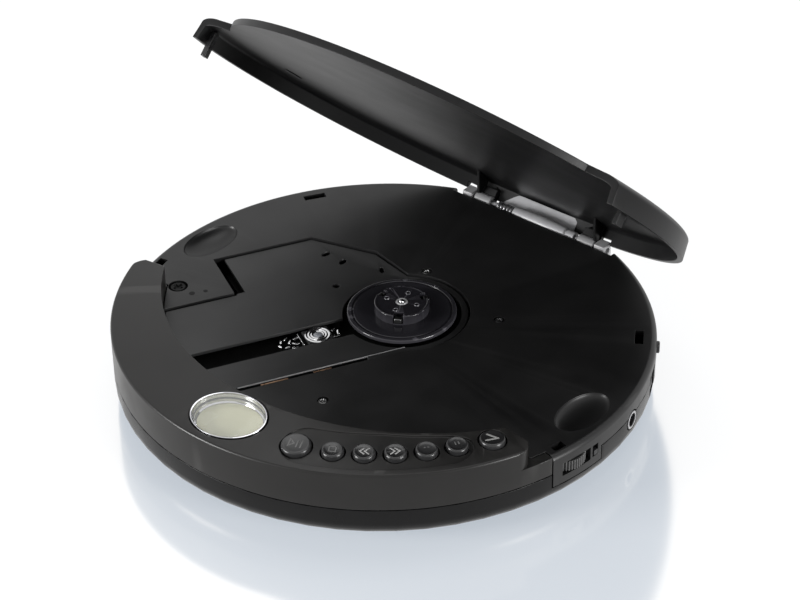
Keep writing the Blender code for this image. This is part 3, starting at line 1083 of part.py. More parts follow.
def build_hinge():
    axis = frame("hinge_axis", (0.0, HINGE_Y, HINGE_Z), (0.0, TURN / 4, 0.0))
    middle = (BAR_LEFT_X + BAR_RIGHT_X) / 2
    half = (BAR_RIGHT_X - BAR_LEFT_X) / 2
    shares = (1.0, 0.5, 0.0, -0.5, -1.0)
    bulge = [(BAR_RADIUS + BAR_BULGE * (1 - s * s), middle + half * s) for s in shares]
    shaft = turned("hinge_shaft", [
        (0.0, SHAFT_END_X), (PIN_RADIUS, SHAFT_END_X), (PIN_RADIUS, COLLAR_X), (COLLAR_RADIUS, COLLAR_X),
        (COLLAR_RADIUS, BAR_RIGHT_X + BITE), *bulge, (PIN_RADIUS, BAR_LEFT_X), (PIN_RADIUS, -SHAFT_END_X),
        (0.0, -SHAFT_END_X)], ROUND_SIDES, parent=axis)
    paint(shaft, (0.3, 0.3, 0.3), 0.4)

    count = SPRING_TURNS * SPRING_POINTS_A_TURN
    coil = []
    for i in range(count + 1):
        angle = TURN * i / SPRING_POINTS_A_TURN
        coil.append((SPRING_START_X + SPRING_WIRE / 2 + SPRING_PITCH * i / SPRING_POINTS_A_TURN,
                     HINGE_Y + SPRING_RADIUS * math.sin(angle), HINGE_Z - SPRING_RADIUS * math.cos(angle)))
    leg = (coil[0][0], coil[0][1] - SPRING_LEG, coil[0][2])
    wire = bpy.data.curves.new("lid_spring", "CURVE")
    wire.dimensions = "3D"
    wire.bevel_depth = SPRING_WIRE / 2
    wire.bevel_resolution = 1
    wire.use_fill_caps = True
    spline = wire.splines.new("POLY")
    points = [leg, *coil]
    spline.points.add(len(points) - 1)
    for point, place in zip(spline.points, points):
        point.co = (*place, 1.0)
    spring = linked("lid_spring", wire)
    apart = [math.dist(a, b) for i, a in enumerate(points) for b in points[i + SPRING_NEAR_POINTS:]]
    print("lid_spring least gap to itself, mm:", round((min(apart) - SPRING_WIRE) / MM, 3))
    paint(spring, STEEL, 0.3, 1.0)


def build_side_controls():
    centre_radius = BODY_RADIUS + WHEEL_PROUD - WHEEL_RADIUS
    x, y = polar(centre_radius, WHEEL_AZIMUTH)
    axle = frame("wheel_axis", (x, y, 0.0), (0.0, 0.0, WHEEL_AZIMUTH))
    low, high = SEAM_Z - WHEEL_THICK / 2, SEAM_Z + WHEEL_THICK / 2
    count = WHEEL_RIBS * 2
    rim = [polar(WHEEL_RADIUS - WHEEL_RIB_DEPTH * (i % 2), TURN * i / count) for i in range(count)]
    wheel = prism("volume_wheel", rim, low, high, parent=axle)
    cut(wheel, cylinder("wheel_bore", POT_SHAFT_RADIUS + RUN, 0.0, DECK_Z, sides=SMALL_SIDES, cutter=True,
                        parent=axle))
    paint(wheel, BLACK, 0.5)
    board_top = BOARD_Z + BOARD_THICK
    pot = box("volume_pot", (-POT_HALF, -POT_HALF, board_top + GAP), (POT_HALF, POT_HALF, low - GAP),
              parent=axle)
    join(pot, cylinder("pot_shaft", POT_SHAFT_RADIUS, low - GAP - BITE, high, sides=SMALL_SIDES, cutter=True,
                       parent=axle))
    paint(pot, STEEL, 0.35, 0.8)

    spot = side_frame("switch_frame", SWITCH_AZIMUTH, SWITCH_Z - SWITCH_TRAVEL / 2)
    half = SWITCH_WIDTH / 2
    plate_out = INNER_RADIUS - GAP
    knob = box("hold_switch_knob", (plate_out - BITE / 2, -half, -half),
               (BODY_RADIUS + SWITCH_PROUD, half, half), parent=spot)
    plate = box("switch_plate", (plate_out - SWITCH_PLATE, -half, -SWITCH_PLATE_HEIGHT / 2),
                (plate_out, SWITCH_PLATE_REACH, SWITCH_PLATE_HEIGHT / 2), True, spot)
    paint(join(knob, plate), BLACK, 0.5)

    length, width, height = JACK_BODY
    spot = side_frame("jack_frame", JACK_AZIMUTH, JACK_Z)
    jack = box("headphone_jack", (JACK_FACE - length, -width / 2, -height / 2),
               (JACK_FACE, width / 2, height / 2), parent=spot)
    join(jack, cylinder("jack_nose", JACK_RADIUS, JACK_FACE - BITE, BODY_RADIUS, cutter=True, parent=spot,
                        axis="X"))
    cut(jack, cylinder("jack_bore", JACK_BORE, BODY_RADIUS - JACK_BORE_DEPTH, BODY_RADIUS + OVER,
                       sides=SMALL_SIDES, cutter=True, parent=spot, axis="X"))
    paint(jack, (0.25, 0.25, 0.26), 0.35)

    length, width, height = DC_BODY
    spot = side_frame("dc_frame", DC_AZIMUTH, DC_Z)
    socket = box("dc_jack", (DC_FACE - length, -width / 2, -height / 2), (DC_FACE, width / 2, height / 2),
                 parent=spot)
    bore_end = DC_FACE - DC_BORE_DEPTH
    cut(socket, cylinder("dc_bore", DC_BORE, bore_end, DC_FACE + OVER, sides=SMALL_SIDES, cutter=True,
                         parent=spot, axis="X"))
    join(socket, cylinder("dc_pin", DC_PIN, bore_end - BITE, DC_FACE - OVER, sides=SMALL_SIDES, cutter=True,
                          parent=spot, axis="X"))
    paint(socket, BLACK, 0.5)


def build_latch():
    x, y = polar(OPEN_RING, math.radians(OPEN_AZIMUTH))
    start = frame("slider_frame", (x, y, 0.0), (0.0, 0.0, SLIDER_AZIMUTH))
    slider = box("latch_slider", (-SLIDER_START_BACK, -SLIDER_HALF, SLIDER_Z),
                 (SLIDER_LENGTH - SLIDER_START_BACK, SLIDER_HALF, SLIDER_Z + SLIDER_THICK), parent=start)
    paint(soften(slider, BITE, 1), BLACK, 0.5)


def build_boards():
    top = BOARD_Z + BOARD_THICK
    board = box("main_board", (BOARD_X[0], BOARD_Y[0], BOARD_Z), (BOARD_X[1], BOARD_Y[1], top))
    keep(board, cylinder("board_round", BOARD_RADIUS, 0.0, DECK_Z, sides=BODY_SIDES, cutter=True))
    for name, centre in CASE_SCREWS.items():
        cut(board, cylinder(name + "_clear", CASE_BOSS_RADIUS + GAP, 0.0, DECK_Z, centre, SMALL_SIDES,
                            True))
    for i, (x, y, length, width, height) in enumerate(CHIPS):
        join(board, box(f"chip_{i}", (x, y, top - BITE), (x + length, y + width, top + height), True))
    paint(board, GREEN, 0.5)

    near_z = CHASSIS_Z - GAP * 2
    far_z = top + GAP * 2
    span = FLEX_FAR_X - FLEX_NEAR_X
    bends = zip(FLEX_BEND_SHARES, (near_z, (near_z + far_z) / 2, far_z))
    path = [(FLEX_NEAR_X, near_z), *((FLEX_NEAR_X + span * s, z) for s, z in bends), (FLEX_FAR_X, far_z)]
    mesh = bpy.data.meshes.new("flex_cable")
    verts = [(x, y, z) for x, z in path for y in FLEX_Y]
    mesh.from_pydata(verts, [], [(2 * i, 2 * i + 1, 2 * i + 3, 2 * i + 2) for i in range(len(path) - 1)])
    flex = linked("flex_cable", mesh)
    thick = flex.modifiers.new("thickness", "SOLIDIFY")
    thick.thickness = FLEX_THICK
    paint(flex, (0.5, 0.25, 0.06), 0.4)


def build_battery_bay():
    centre = (BASE_RADIUS, SIDE_BOTTOM_Z)
    half = (BODY_RADIUS - BASE_RADIUS, SIDE_BOTTOM_Z - FLOOR_Z)
    top = FLOOR_Z + DOOR_THICK
    outer = [p for p in ellipse(centre, half, 0.0, -TURN / 4, 6) if p[1] < top]
    share = math.asin((SIDE_BOTTOM_Z - top) / half[1])
    edge = (centre[0] + half[0] * math.cos(share), top)
    door = turned("battery_door", [(0.0, top), edge, *outer, (0.0, FLOOR_Z)])
    keep(door, box("door_bounds", (-DOOR_HALF, DOOR_Y, 0.0), (DOOR_HALF, BODY_RADIUS, DECK_Z), True))
    for i in range(DOOR_GRIPS):
        y = GRIP_Y + GRIP_PITCH * i
        groove_high = (GRIP_HALF, y + GRIP_PITCH / 2, FLOOR_Z + GRIP_DEPTH)
        cut(door, box(f"grip_{i}", (-GRIP_HALF, y, 0.0), groove_high, True))
    paint(door, CHARCOAL, 0.55)
    for side, name in ((-1, "battery_contact_left"), (1, "battery_contact_right")):
        near, far = sorted((side * (BAY_HALF - GAP), side * (BAY_HALF - GAP - CONTACT_THICK)))
        contact = box(name, (near, BAY_Y[0] + CONTACT_SIDE, RAIL_TOP_Z + GAP),
                      (far, BAY_Y[1] - CONTACT_SIDE, RAIL_TOP_Z + GAP + CONTACT_HEIGHT))
        paint(contact, STEEL, 0.25, 1.0)


def build_fasteners_and_feet():
    for corner, azimuth in FOOT_AZIMUTHS.items():
        centre = polar(FOOT_RING, math.radians(azimuth))
        foot = cylinder("rubber_foot_" + corner, FOOT_RADIUS, 0.0, FLOOR_Z + FOOT_SUNK, centre)
        paint(foot, (0.02, 0.02, 0.02), 0.9)
    for name, (x, y) in CASE_SCREWS.items():
        spot = frame(name + "_frame", (x, y, FLOOR_Z + GAP), (TURN / 2, 0.0, 0.0))
        screw_solid(name, CASE_HEAD_RADIUS, CASE_HEAD_HEIGHT, CASE_SHANK_RADIUS,
                    CASE_SHANK_TOP_Z - FLOOR_Z, spot)
    for name, (x, y, head) in DECK_SCREWS.items():
        spot = frame(name + "_frame", (x, y, DECK_Z - GAP / 2))
        screw_solid(name, head, head * CROSS_SHARE, head * CROSS_SHARE - STEP, DECK_SCREW_LENGTH, spot)


build_lower_case()
build_upper_case()
build_control_panel()
build_keys()
build_display()
build_turntable()
build_mechanism()
build_lid()
build_hinge()
build_side_controls()
build_latch()
build_boards()
build_battery_bay()
build_fasteners_and_feet()
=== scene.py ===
"""Looks of the portable disc player: smooth shells, key marks, mechanism detail and finishes.

Everything is in metres, +Z up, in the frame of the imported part. The crescent panel faces -Y.
"""

import json
from math import acos, atan2, cos, hypot, pi, radians, sin, sqrt, tan

import bmesh
import bpy
from mathutils import Matrix, Vector


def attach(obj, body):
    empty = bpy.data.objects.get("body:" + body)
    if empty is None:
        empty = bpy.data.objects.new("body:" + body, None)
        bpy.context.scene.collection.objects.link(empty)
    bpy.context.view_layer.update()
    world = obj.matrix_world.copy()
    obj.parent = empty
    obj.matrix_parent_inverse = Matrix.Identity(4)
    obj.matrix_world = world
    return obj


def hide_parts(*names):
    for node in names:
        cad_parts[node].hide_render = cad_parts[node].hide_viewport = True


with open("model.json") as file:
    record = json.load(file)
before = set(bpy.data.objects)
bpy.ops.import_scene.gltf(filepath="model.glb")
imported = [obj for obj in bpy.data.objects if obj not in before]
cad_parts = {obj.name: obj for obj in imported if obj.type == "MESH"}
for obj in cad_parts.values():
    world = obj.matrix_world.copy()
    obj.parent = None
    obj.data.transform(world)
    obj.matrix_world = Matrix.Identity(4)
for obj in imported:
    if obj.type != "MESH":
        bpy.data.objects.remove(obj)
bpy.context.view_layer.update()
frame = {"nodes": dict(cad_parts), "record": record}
NODES = frame["nodes"]
BODY_OF = {node: body for body, members in frame["record"]["behaviour"]["bodies"].items()
           for node in members}
SLOT_OF = {part["node"]: part["material_slot"] for part in frame["record"]["subparts"]}

MM = 0.001


def mm(*values):
    return tuple(value * MM for value in values)


def shift(x, y, z):
    return Matrix.Translation((x, y, z))


def rotate(angle, axis="Z"):
    return Matrix.Rotation(angle, 4, axis)


TURN = 2 * pi
FINE = 200  # steps of a full turn on the large shells
MEDIUM = 72
COARSE = 32
LAMP_DISTANCE = 0.9
WELD = 0.01 * MM
HAIR = 0.05 * MM
OVER = 1.0 * MM
BITE = 0.4 * MM
STEP = 0.2 * MM
GAP = 0.3 * MM
RUN = 0.2 * MM

# Case and crescent panel
BODY_RADIUS = 72.0 * MM
WALL = 1.6 * MM
INNER_RADIUS = BODY_RADIUS - WALL
SEAM_Z = 10.9 * MM
SEAM_HIGH_Z = SEAM_Z + GAP / 2
DECK_Z = 16.2 * MM
DECK_UNDER_Z = DECK_Z - WALL
SHOULDER = 1.6 * MM
TAB_Z = 6.6 * MM
TAB_AZIMUTHS = (radians(-14.9), radians(-1.3))
PANEL_ARC_Y = 16.5 * MM
PANEL_ARC_RADIUS = 70.0 * MM
PANEL_END_Y = -22.5 * MM
PANEL_TILT = radians(7.0)
PANEL_WALL_Z = 14.9 * MM
CREASE_Z = 21.7 * MM
CREASE_ROUND = 0.8 * MM
TIP_OUTER_ROUND = 4.0 * MM
TIP_INNER_ROUND = 3.5 * MM
TIP_TOP_ROUND = 1.2 * MM
TIP_EDGE_X = 65.0 * MM
TIP_EDGE_HALF = 9.0 * MM
TIP_EDGE_SLOPE = PANEL_TILT * 0.93
JOINT_AZIMUTH = radians(-15.2)
SKIRT_AZIMUTH = radians(-19.5)

# Deck: scoops, slots, screws and marks
SCOOP_CENTRES = (mm(-63.9, 1.0), mm(63.9, 1.0))
SCOOP_HALF = mm(5.4, 9.3, 2.4)
SCOOP_WALL = 1.2 * MM
REAR_SLOT_RING = 67.3 * MM
REAR_SLOT_HALF = mm(1.1, 3.15)
REAR_SLOT_AZIMUTHS = (radians(147.0), radians(33.2))
DECK_SCREWS = {
    "deck_screw": mm(-55.4, -21.0, 2.5),
    "mechanism_screw_rear": mm(-7.1, 26.6, 1.3),
    "mechanism_screw_side": mm(22.6, 20.4, 1.3),
    "mechanism_screw_front": mm(9.5, -35.8, 1.3),
}
SCREW_SINK_SHARE = 0.55
MOULD_MARKS = (mm(-50.0, -21.2, 0.8), mm(-47.9, -18.1, 0.6))
MOULD_MARK_PROUD = 0.04 * MM

# Side: volume wheel, hold switch, sockets and strap nub
WHEEL_AZIMUTH = radians(-8.6)
WHEEL_RADIUS = 6.1 * MM
WHEEL_PROUD = 0.5 * MM
WHEEL_THICK = 2.8 * MM
WHEEL_BORE = 1.4 * MM
WHEEL_RIBS = 48
RIB_DEPTH = 0.34 * MM
WINDOW_SIZE = mm(9.8, 3.8)
SWITCH_AZIMUTH = radians(-3.2)
SWITCH_Z = 11.0 * MM
SWITCH_SLOT = mm(2.1, 3.4)
JACK_AZIMUTH = radians(10.9)
JACK_Z = 9.4 * MM
JACK_RADIUS = 2.6 * MM
JACK_FACE = 69.6 * MM
JACK_SIZE = mm(10.0, 7.0, 6.6)
JACK_BORE = 1.75 * MM
JACK_BORE_DEPTH = 11.0 * MM
DC_AZIMUTH = radians(25.4)
DC_Z = 9.2 * MM
DC_SIZE = mm(6.0, 6.2)
NUB_AZIMUTH = radians(33.0)
NUB_Z = 13.4 * MM
NUB_HALF = mm(1.2, 1.3)
NUB_PROUD = 0.8 * MM

# Tray that holds the small keys
TRAY_RING = 63.6 * MM
TRAY_HALF_WIDTH = 6.2 * MM
TRAY_AZIMUTHS = (radians(-73.2), radians(-30.6))
TRAY_DEPTH = 0.55 * MM
TRAY_MARGIN = 1.0 * MM

# Keys
KEY_RING = 64.2 * MM
KEY_RADIUS = 2.85 * MM
PLAY_RADIUS = 3.8 * MM
OPEN_RING = 65.0 * MM
OPEN_RADIUS = 3.3 * MM
OPEN_AZIMUTH = -26.2
KEY_PROUD = 0.7 * MM
KEY_AZIMUTHS = {
    "play_button": -69.7,
    "stop_button": -61.4,
    "skip_back_button": -54.5,
    "skip_forward_button": -47.7,
    "mode_button": -40.9,
    "program_button": -34.1,
}

# Marks on the keys: strokes as shares of the key's radius, x to the right and y up
MARK_SHARES = {
    "play_button": [((0.1, -0.3), (0.1, 0.3)), ((0.38, -0.3), (0.38, 0.3)), ((-0.45, -0.32), (-0.1, 0.0)),
                    ((-0.45, 0.32), (-0.1, 0.0)), ((-0.45, -0.32), (-0.45, 0.32))],
    "stop_button": [((-0.3, -0.3), (0.3, -0.3)), ((0.3, -0.3), (0.3, 0.3)), ((0.3, 0.3), (-0.3, 0.3)),
                    ((-0.3, 0.3), (-0.3, -0.3))],
    "skip_back_button": [((0.0, -0.34), (-0.38, 0.0)), ((-0.38, 0.0), (0.0, 0.34)),
                         ((0.42, -0.34), (0.04, 0.0)), ((0.04, 0.0), (0.42, 0.34))],
    "skip_forward_button": [((0.0, -0.34), (0.38, 0.0)), ((0.38, 0.0), (0.0, 0.34)),
                            ((-0.42, -0.34), (-0.04, 0.0)), ((-0.04, 0.0), (-0.42, 0.34))],
    "mode_button": [((-0.16, 0.16), (-0.14, 0.16)), ((0.16, 0.16), (0.18, 0.16))],
    "program_button": [((-0.14, 0.24), (-0.14, 0.0)), ((0.16, 0.24), (0.16, 0.0))],
    "open_button": [((-0.42, 0.36), (0.42, 0.0)), ((0.42, 0.0), (-0.42, -0.36))],
}
MARK_WIDTH = 0.34 * MM
BRIGHT_MARKS = ("skip_back_button", "skip_forward_button", "open_button")
MARK_TURN = {"open_button": radians(-32.0)}

# Display
DISPLAY_RING = 61.8 * MM
DISPLAY_AZIMUTH = radians(-88.7)
DISPLAY_TURN = radians(9.0)
DISPLAY_HALF = mm(8.15, 10.4)
BEZEL_HEIGHT = 4.2 * MM

# Disc and mechanism
DISC_Y = 7.3 * MM
DISC_PLANE_Z = 16.9 * MM
HUB_HEIGHT = 2.7 * MM
DIMPLE_RING = 4.3 * MM
DIMPLE_RADIUS = 0.5 * MM
DIMPLE_DEPTH = 0.75 * MM
CLAW_RING = 7.0 * MM
PATH_AZIMUTH = radians(-118.5)
OPENING_RADIUS = 18.3 * MM
OPENING_SIDE = 17.0 * MM
OPENING_REACH = 66.0 * MM
OPENING_BACK = 26.0 * MM
OPENING_ARC_END = radians(243.0)
BAY_NEAR = 9.5 * MM
BAY_FAR = 38.3 * MM
BAY_SIDE = 44.0 * MM
BAY_CORNER_ALONG = 4.6 * MM
BAY_CORNER_SIDE = 29.9 * MM
COVER_TOP_Z = 15.7 * MM
COVER_THICK = 1.0 * MM
COVER_GAP = 0.6 * MM
COVER_BORE = 15.9 * MM
WIDE_GAP = 3.0 * MM
SLOT_HALF = 4.0 * MM
LENS_ALONG = 24.0 * MM
FRONT_GAP = 2.0 * MM
ROUND_HOLE = mm(11.5, -19.0, 1.0)
# Oval holes of the cover in mm: along, across, turn in degrees and half width
COVER_SLOTS = ((5.6, -29.5, 40, 0.85), (8.5, -34.9, 20, 0.85), (-2.7, -21.4, 75, 0.65))
COVER_SLOT_HALF = 1.5 * MM
# Span along the mechanism of the light strip that paints a highlight on the cover's front edge
EDGE_HIGHLIGHT_SPAN = mm(5.2, 51.5)
COPPER_TRACKS = (mm(26.0, 31.0), mm(38.0, 45.5))
# Small bright parts round the lens in mm: along, across, turn in degrees and length
PICKUP_CLIPS = (
    (29.4, -1.9, 25, 2.1), (30.4, 0.4, -35, 1.7), (31.6, -0.9, 60, 1.9), (32.9, 1.3, 10, 1.4),
    (33.8, -1.6, 75, 1.3), (31.0, 2.2, -10, 1.8), (32.2, -2.5, 40, 1.5), (34.6, 0.2, -60, 1.1),
    (19.2, 1.3, 5, 2.2), (18.2, -0.3, 80, 1.9), (19.0, -1.6, 30, 1.4))
PICKUP_CLIP_Z = 14.2 * MM

# Lid and hinge
HINGE_Y = 66.6 * MM
HINGE_Z = 15.0 * MM
OPEN_ANGLE = radians(44.0)
LID_LIP_Z = 16.6 * MM
LID_TOP_Z = 25.6 * MM
LID_CREASE_RADIUS = 71.3 * MM
LID_CREASE_Z = 21.3 * MM
LID_SHOULDER_RADIUS = 66.5 * MM
LID_SHOULDER_Z = 23.4 * MM
LID_PLATE = 2.0 * MM
LID_CUT_GAP = 0.4 * MM
BARREL_RADIUS = 1.9 * MM
BARREL_X = mm(15.4, 20.8)
LUG_X = mm(21.4, 24.8)
LUG_HALF = 1.9 * MM
LUG_SWEEP = 3.2 * MM
PIN_RADIUS = 0.8 * MM
POCKET_HALF = 27.8 * MM
POCKET_Y = 64.0 * MM
POCKET_Z = 12.0 * MM
LATCH_RING = 69.0 * MM
LATCH_AZIMUTH = radians(-11.8)
SWITCH_TAB_AZIMUTH = radians(192.9)
LATCH_TIP_Z = 13.4 * MM
LATCH_HALF = mm(0.7, 1.3)
LATCH_PLAY = 0.5 * MM
TAB_ROOT_Z = 22.6 * MM
ARM_TOP_Z = 19.0 * MM
GUSSET_REACH = 6.0 * MM
GUSSET_THICK = 0.9 * MM
LID_SLOT_AZIMUTH = radians(167.6)
HINGE_BAR_X = mm(-7.2, 10.6)
HINGE_BAR_RADIUS = 1.85 * MM
HINGE_BAR_BULGE = 0.42 * MM
SHAFT_END = 24.0 * MM
SPRING_TURNS = 5
SPRING_PITCH = 1.1 * MM
SPRING_RADIUS = 1.3 * MM
SPRING_WIRE = 0.25 * MM
SPRING_START = -13.6 * MM
SPRING_TAIL = 2.2 * MM

# A flat outline's x, y and height become y, z and x
SIDEWAYS = Matrix(((0, 0, 1, 0), (1, 0, 0, 0), (0, 1, 0, 0), (0, 0, 0, 1)))
MECHANISM = shift(0.0, DISC_Y, 0.0) @ rotate(PATH_AZIMUTH)
SPINDLE = shift(0.0, DISC_Y, 0.0)
OPEN = shift(0.0, HINGE_Y, HINGE_Z) @ rotate(-OPEN_ANGLE, "X") @ shift(0.0, -HINGE_Y, -HINGE_Z)


def panel_top(radius):
    """Height of the crescent's sloping top at a radius from the body's axis."""
    return CREASE_Z + (BODY_RADIUS - radius) * tan(PANEL_TILT)


def mm_points(points, base=0.0):
    """Points of radius and height in millimetres, with the heights above a base."""
    return [(radius * MM, base + height * MM) for radius, height in points]


def polar(radius, azimuth):
    return radius * cos(azimuth), radius * sin(azimuth)


def arc(centre, half, start, end, count):
    """Points of an elliptical arc, ends included."""
    angles = [start + (end - start) * i / count for i in range(count + 1)]
    return [(centre[0] + half[0] * cos(a), centre[1] + half[1] * sin(a)) for a in angles]


def add_object(name, data):
    obj = bpy.data.objects.new(name, data)
    bpy.context.scene.collection.objects.link(obj)
    return obj


def as_object(name, shape, place=None):
    bmesh.ops.recalc_face_normals(shape, faces=shape.faces)
    mesh = bpy.data.meshes.new(name)
    shape.to_mesh(mesh)
    shape.free()
    if place is not None:
        mesh.transform(place)
    return add_object(name, mesh)


def revolve(name, profile, steps=FINE, place=None, stretch=None):
    """A profile of radius and height spun a full turn about Z; a ring's profile is closed first.

    With a stretch, the radii are shares of its two half widths.
    """
    shape = bmesh.new()
    verts = [shape.verts.new((radius, 0.0, height)) for radius, height in profile]
    edges = [shape.edges.new(pair) for pair in zip(verts, verts[1:])]
    if profile[0][0] > 0 and profile[-1][0] > 0:
        edges.append(shape.edges.new((verts[-1], verts[0])))
    bmesh.ops.spin(shape, geom=verts + edges, cent=(0, 0, 0), axis=(0, 0, 1), angle=TURN, steps=steps,
                   use_merge=True, use_duplicate=False)
    bmesh.ops.remove_doubles(shape, verts=shape.verts, dist=WELD)
    if stretch:
        bmesh.ops.scale(shape, vec=(*stretch, 1.0), verts=shape.verts)
    return as_object(name, shape, place)


def slab(name, outline, low, high, place=None):
    """A flat outline extruded from one height to another."""
    shape = bmesh.new()
    face = shape.faces.new([shape.verts.new((x, y, low)) for x, y in outline])
    raised = bmesh.ops.extrude_face_region(shape, geom=[face])["geom"]
    verts = [item for item in raised if isinstance(item, bmesh.types.BMVert)]
    bmesh.ops.translate(shape, vec=(0, 0, high - low), verts=verts)
    return as_object(name, shape, place)


def block(name, low, high, place=None, rounding=0.0):
    shape = bmesh.new()
    bmesh.ops.create_cube(shape, size=1.0)
    bmesh.ops.scale(shape, vec=[h - l for l, h in zip(low, high)], verts=shape.verts)
    bmesh.ops.translate(shape, vec=[(l + h) / 2 for l, h in zip(low, high)], verts=shape.verts)
    if rounding:
        bmesh.ops.bevel(shape, geom=shape.edges, offset=rounding, segments=3, profile=0.5, affect="EDGES",
                        material=-1, clamp_overlap=True)
    return as_object(name, shape, place)


def post(name, ring, half, low, high, place, rounding=0.0):
    """A block round a point at a distance from the axis, from its half widths and two heights."""
    return block(name, (ring - half[0], -half[1], low), (ring + half[0], half[1], high), place, rounding)


def rod(name, radius, low, high, centre=(0.0, 0.0), sides=COARSE, axis="Z", half=None, place=None,
        rounding=0.0):
    """A cylinder along Z or X; half gives an oval's two half widths."""
    shape = bmesh.new()
    bmesh.ops.create_cone(shape, cap_ends=True, segments=sides, radius1=1.0, radius2=1.0, depth=1.0)
    wide = half or (radius, radius)
    bmesh.ops.scale(shape, vec=(wide[0], wide[1], high - low), verts=shape.verts)
    if rounding:
        caps = [edge for edge in shape.edges if edge.calc_face_angle(0.0) > TURN / 6]
        bmesh.ops.bevel(shape, geom=caps, offset=rounding, segments=3, profile=0.5, affect="EDGES",
                        material=-1, clamp_overlap=True)
    middle = (low + high) / 2
    offset = (centre[0], centre[1], middle)
    if axis == "X":
        bmesh.ops.rotate(shape, matrix=Matrix.Rotation(TURN / 4, 3, "Y"), verts=shape.verts)
        offset = (middle, centre[0], centre[1])
    bmesh.ops.translate(shape, vec=offset, verts=shape.verts)
    return as_object(name, shape, place)


def orb(name, half, centre, place=None):
    shape = bmesh.new()
    bmesh.ops.create_uvsphere(shape, u_segments=MEDIUM, v_segments=COARSE, radius=1.0)
    bmesh.ops.scale(shape, vec=half, verts=shape.verts)
    bmesh.ops.translate(shape, vec=centre, verts=shape.verts)
    return as_object(name, shape, place)


def settle(obj):
    """Makes an object's modifiers part of its mesh."""
    bpy.context.view_layer.update()
    evaluated = obj.evaluated_get(bpy.context.evaluated_depsgraph_get())
    mesh = bpy.data.meshes.new_from_object(evaluated)
    obj.modifiers.clear()
    obj.data = mesh
    return obj


def combine(target, how, *tools):
    for tool in tools:
        change = target.modifiers.new(tool.name, "BOOLEAN")
        change.operation = how
        change.solver = "EXACT"
        change.object = tool
    settle(target)
    for tool in tools:
        bpy.data.objects.remove(tool, do_unlink=True)
    return target


def cut(target, *tools):
    return combine(target, "DIFFERENCE", *tools)


def join(target, *tools):
    return combine(target, "UNION", *tools)


def keep(target, tool):
    return combine(target, "INTERSECT", tool)


def round_edges(obj, width, segments=2, limit=radians(35)):
    """Small bevels on the sharp edges, so that they catch the light as moulded edges do."""
    shape = bmesh.new()
    shape.from_mesh(obj.data)
    bmesh.ops.remove_doubles(shape, verts=shape.verts, dist=WELD)
    shape.to_mesh(obj.data)
    shape.free()
    bevel = obj.modifiers.new("round", "BEVEL")
    bevel.width = width
    bevel.segments = segments
    bevel.limit_method = "ANGLE"
    bevel.angle_limit = limit
    bevel.use_clamp_overlap = False
    return settle(obj)


def smooth(obj, angle=radians(38)):
    obj.data.shade_smooth()
    obj.data.set_sharp_from_angle(angle=angle)
    weighted = obj.modifiers.new("even_shading", "WEIGHTED_NORMAL")
    weighted.keep_sharp = True
    weighted.weight = 100
    return obj


def dress(obj, material, body, slot, *nodes):
    """Gives a piece its finish and its body, and hides the nodes that it stands for."""
    obj.data.materials.clear()
    obj.data.materials.append(material)
    smooth(obj)
    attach(obj, body)
    if nodes:
        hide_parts(*nodes)
    return obj


def stand_for(obj, material, node):
    """Puts a piece in the place of one node, on that node's body."""
    return dress(obj, material, BODY_OF[node], SLOT_OF[node], node)


def add_node(tree, kind, inputs=None, **settings):
    """A shader node; each input is given a value, or the node or socket that feeds it."""
    node = tree.nodes.new("ShaderNode" + kind)
    for name, value in settings.items():
        setattr(node, name, value)
    for socket, value in (inputs or {}).items():
        if isinstance(value, bpy.types.Node):
            value = value.outputs[0]
        if isinstance(value, bpy.types.NodeSocket):
            tree.links.new(value, node.inputs[socket])
        else:
            node.inputs[socket].default_value = value
    return node


FINISHES = {}


def finish(name, dark, light, roughness, metallic=0.0, specular=0.5, cloud=14.0 * MM, grain=0.0,
           grain_size=0.22 * MM, spread=0.06, coat=0.0, alpha=1.0, wear_and_highlight=0.0):
    """A moulded, painted or metal surface: clouded colour, uneven gloss, fine grain and paler edges that are
    partly edge wear and partly painted edge highlight.
    """
    material = bpy.data.materials.new(name)
    material.use_nodes = True
    tree = material.node_tree
    shader = tree.nodes["Principled BSDF"]
    shader.inputs["Metallic"].default_value = metallic
    shader.inputs["Specular IOR Level"].default_value = specular
    shader.inputs["Coat Weight"].default_value = coat
    shader.inputs["Alpha"].default_value = alpha
    place = add_node(tree, "TexCoord").outputs["Object"]
    clouds = add_node(tree, "TexNoise", {"Scale": 1 / cloud, "Detail": 4.0, "Vector": place}).outputs["Fac"]
    colour = add_node(tree, "Mix", {"A": (*dark, 1.0), "B": (*light, 1.0), "Factor": clouds},
                      data_type="RGBA").outputs["Result"]
    # Paler convex edges: partly edge wear, partly painted highlight lines along rims and creases
    if wear_and_highlight:
        convex = add_node(tree, "NewGeometry").outputs["Pointiness"]
        edge = add_node(tree, "MapRange", {
            "From Min": 0.52, "From Max": 0.6, "To Max": wear_and_highlight, "Value": convex}).outputs["Result"]
        pale = [min(1.0, value * 3 + 0.04) for value in light]
        colour = add_node(tree, "Mix", {"A": colour, "B": (*pale, 1.0), "Factor": edge},
                          data_type="RGBA").outputs["Result"]
    tree.links.new(colour, shader.inputs["Base Color"])
    gloss = add_node(tree, "MapRange", {
        "From Min": 0.3, "From Max": 0.7, "To Min": max(0.02, roughness - spread),
        "To Max": roughness + spread, "Value": clouds})
    tree.links.new(gloss.outputs["Result"], shader.inputs["Roughness"])
    if grain:
        texture = add_node(tree, "TexNoise", {"Scale": 1 / grain_size, "Detail": 2.0, "Vector": place})
        bump = add_node(tree, "Bump", {
            "Strength": grain, "Distance": 0.02 * MM, "Height": texture.outputs["Fac"]})
        tree.links.new(bump.outputs["Normal"], shader.inputs["Normal"])
    FINISHES[name] = material
    return material
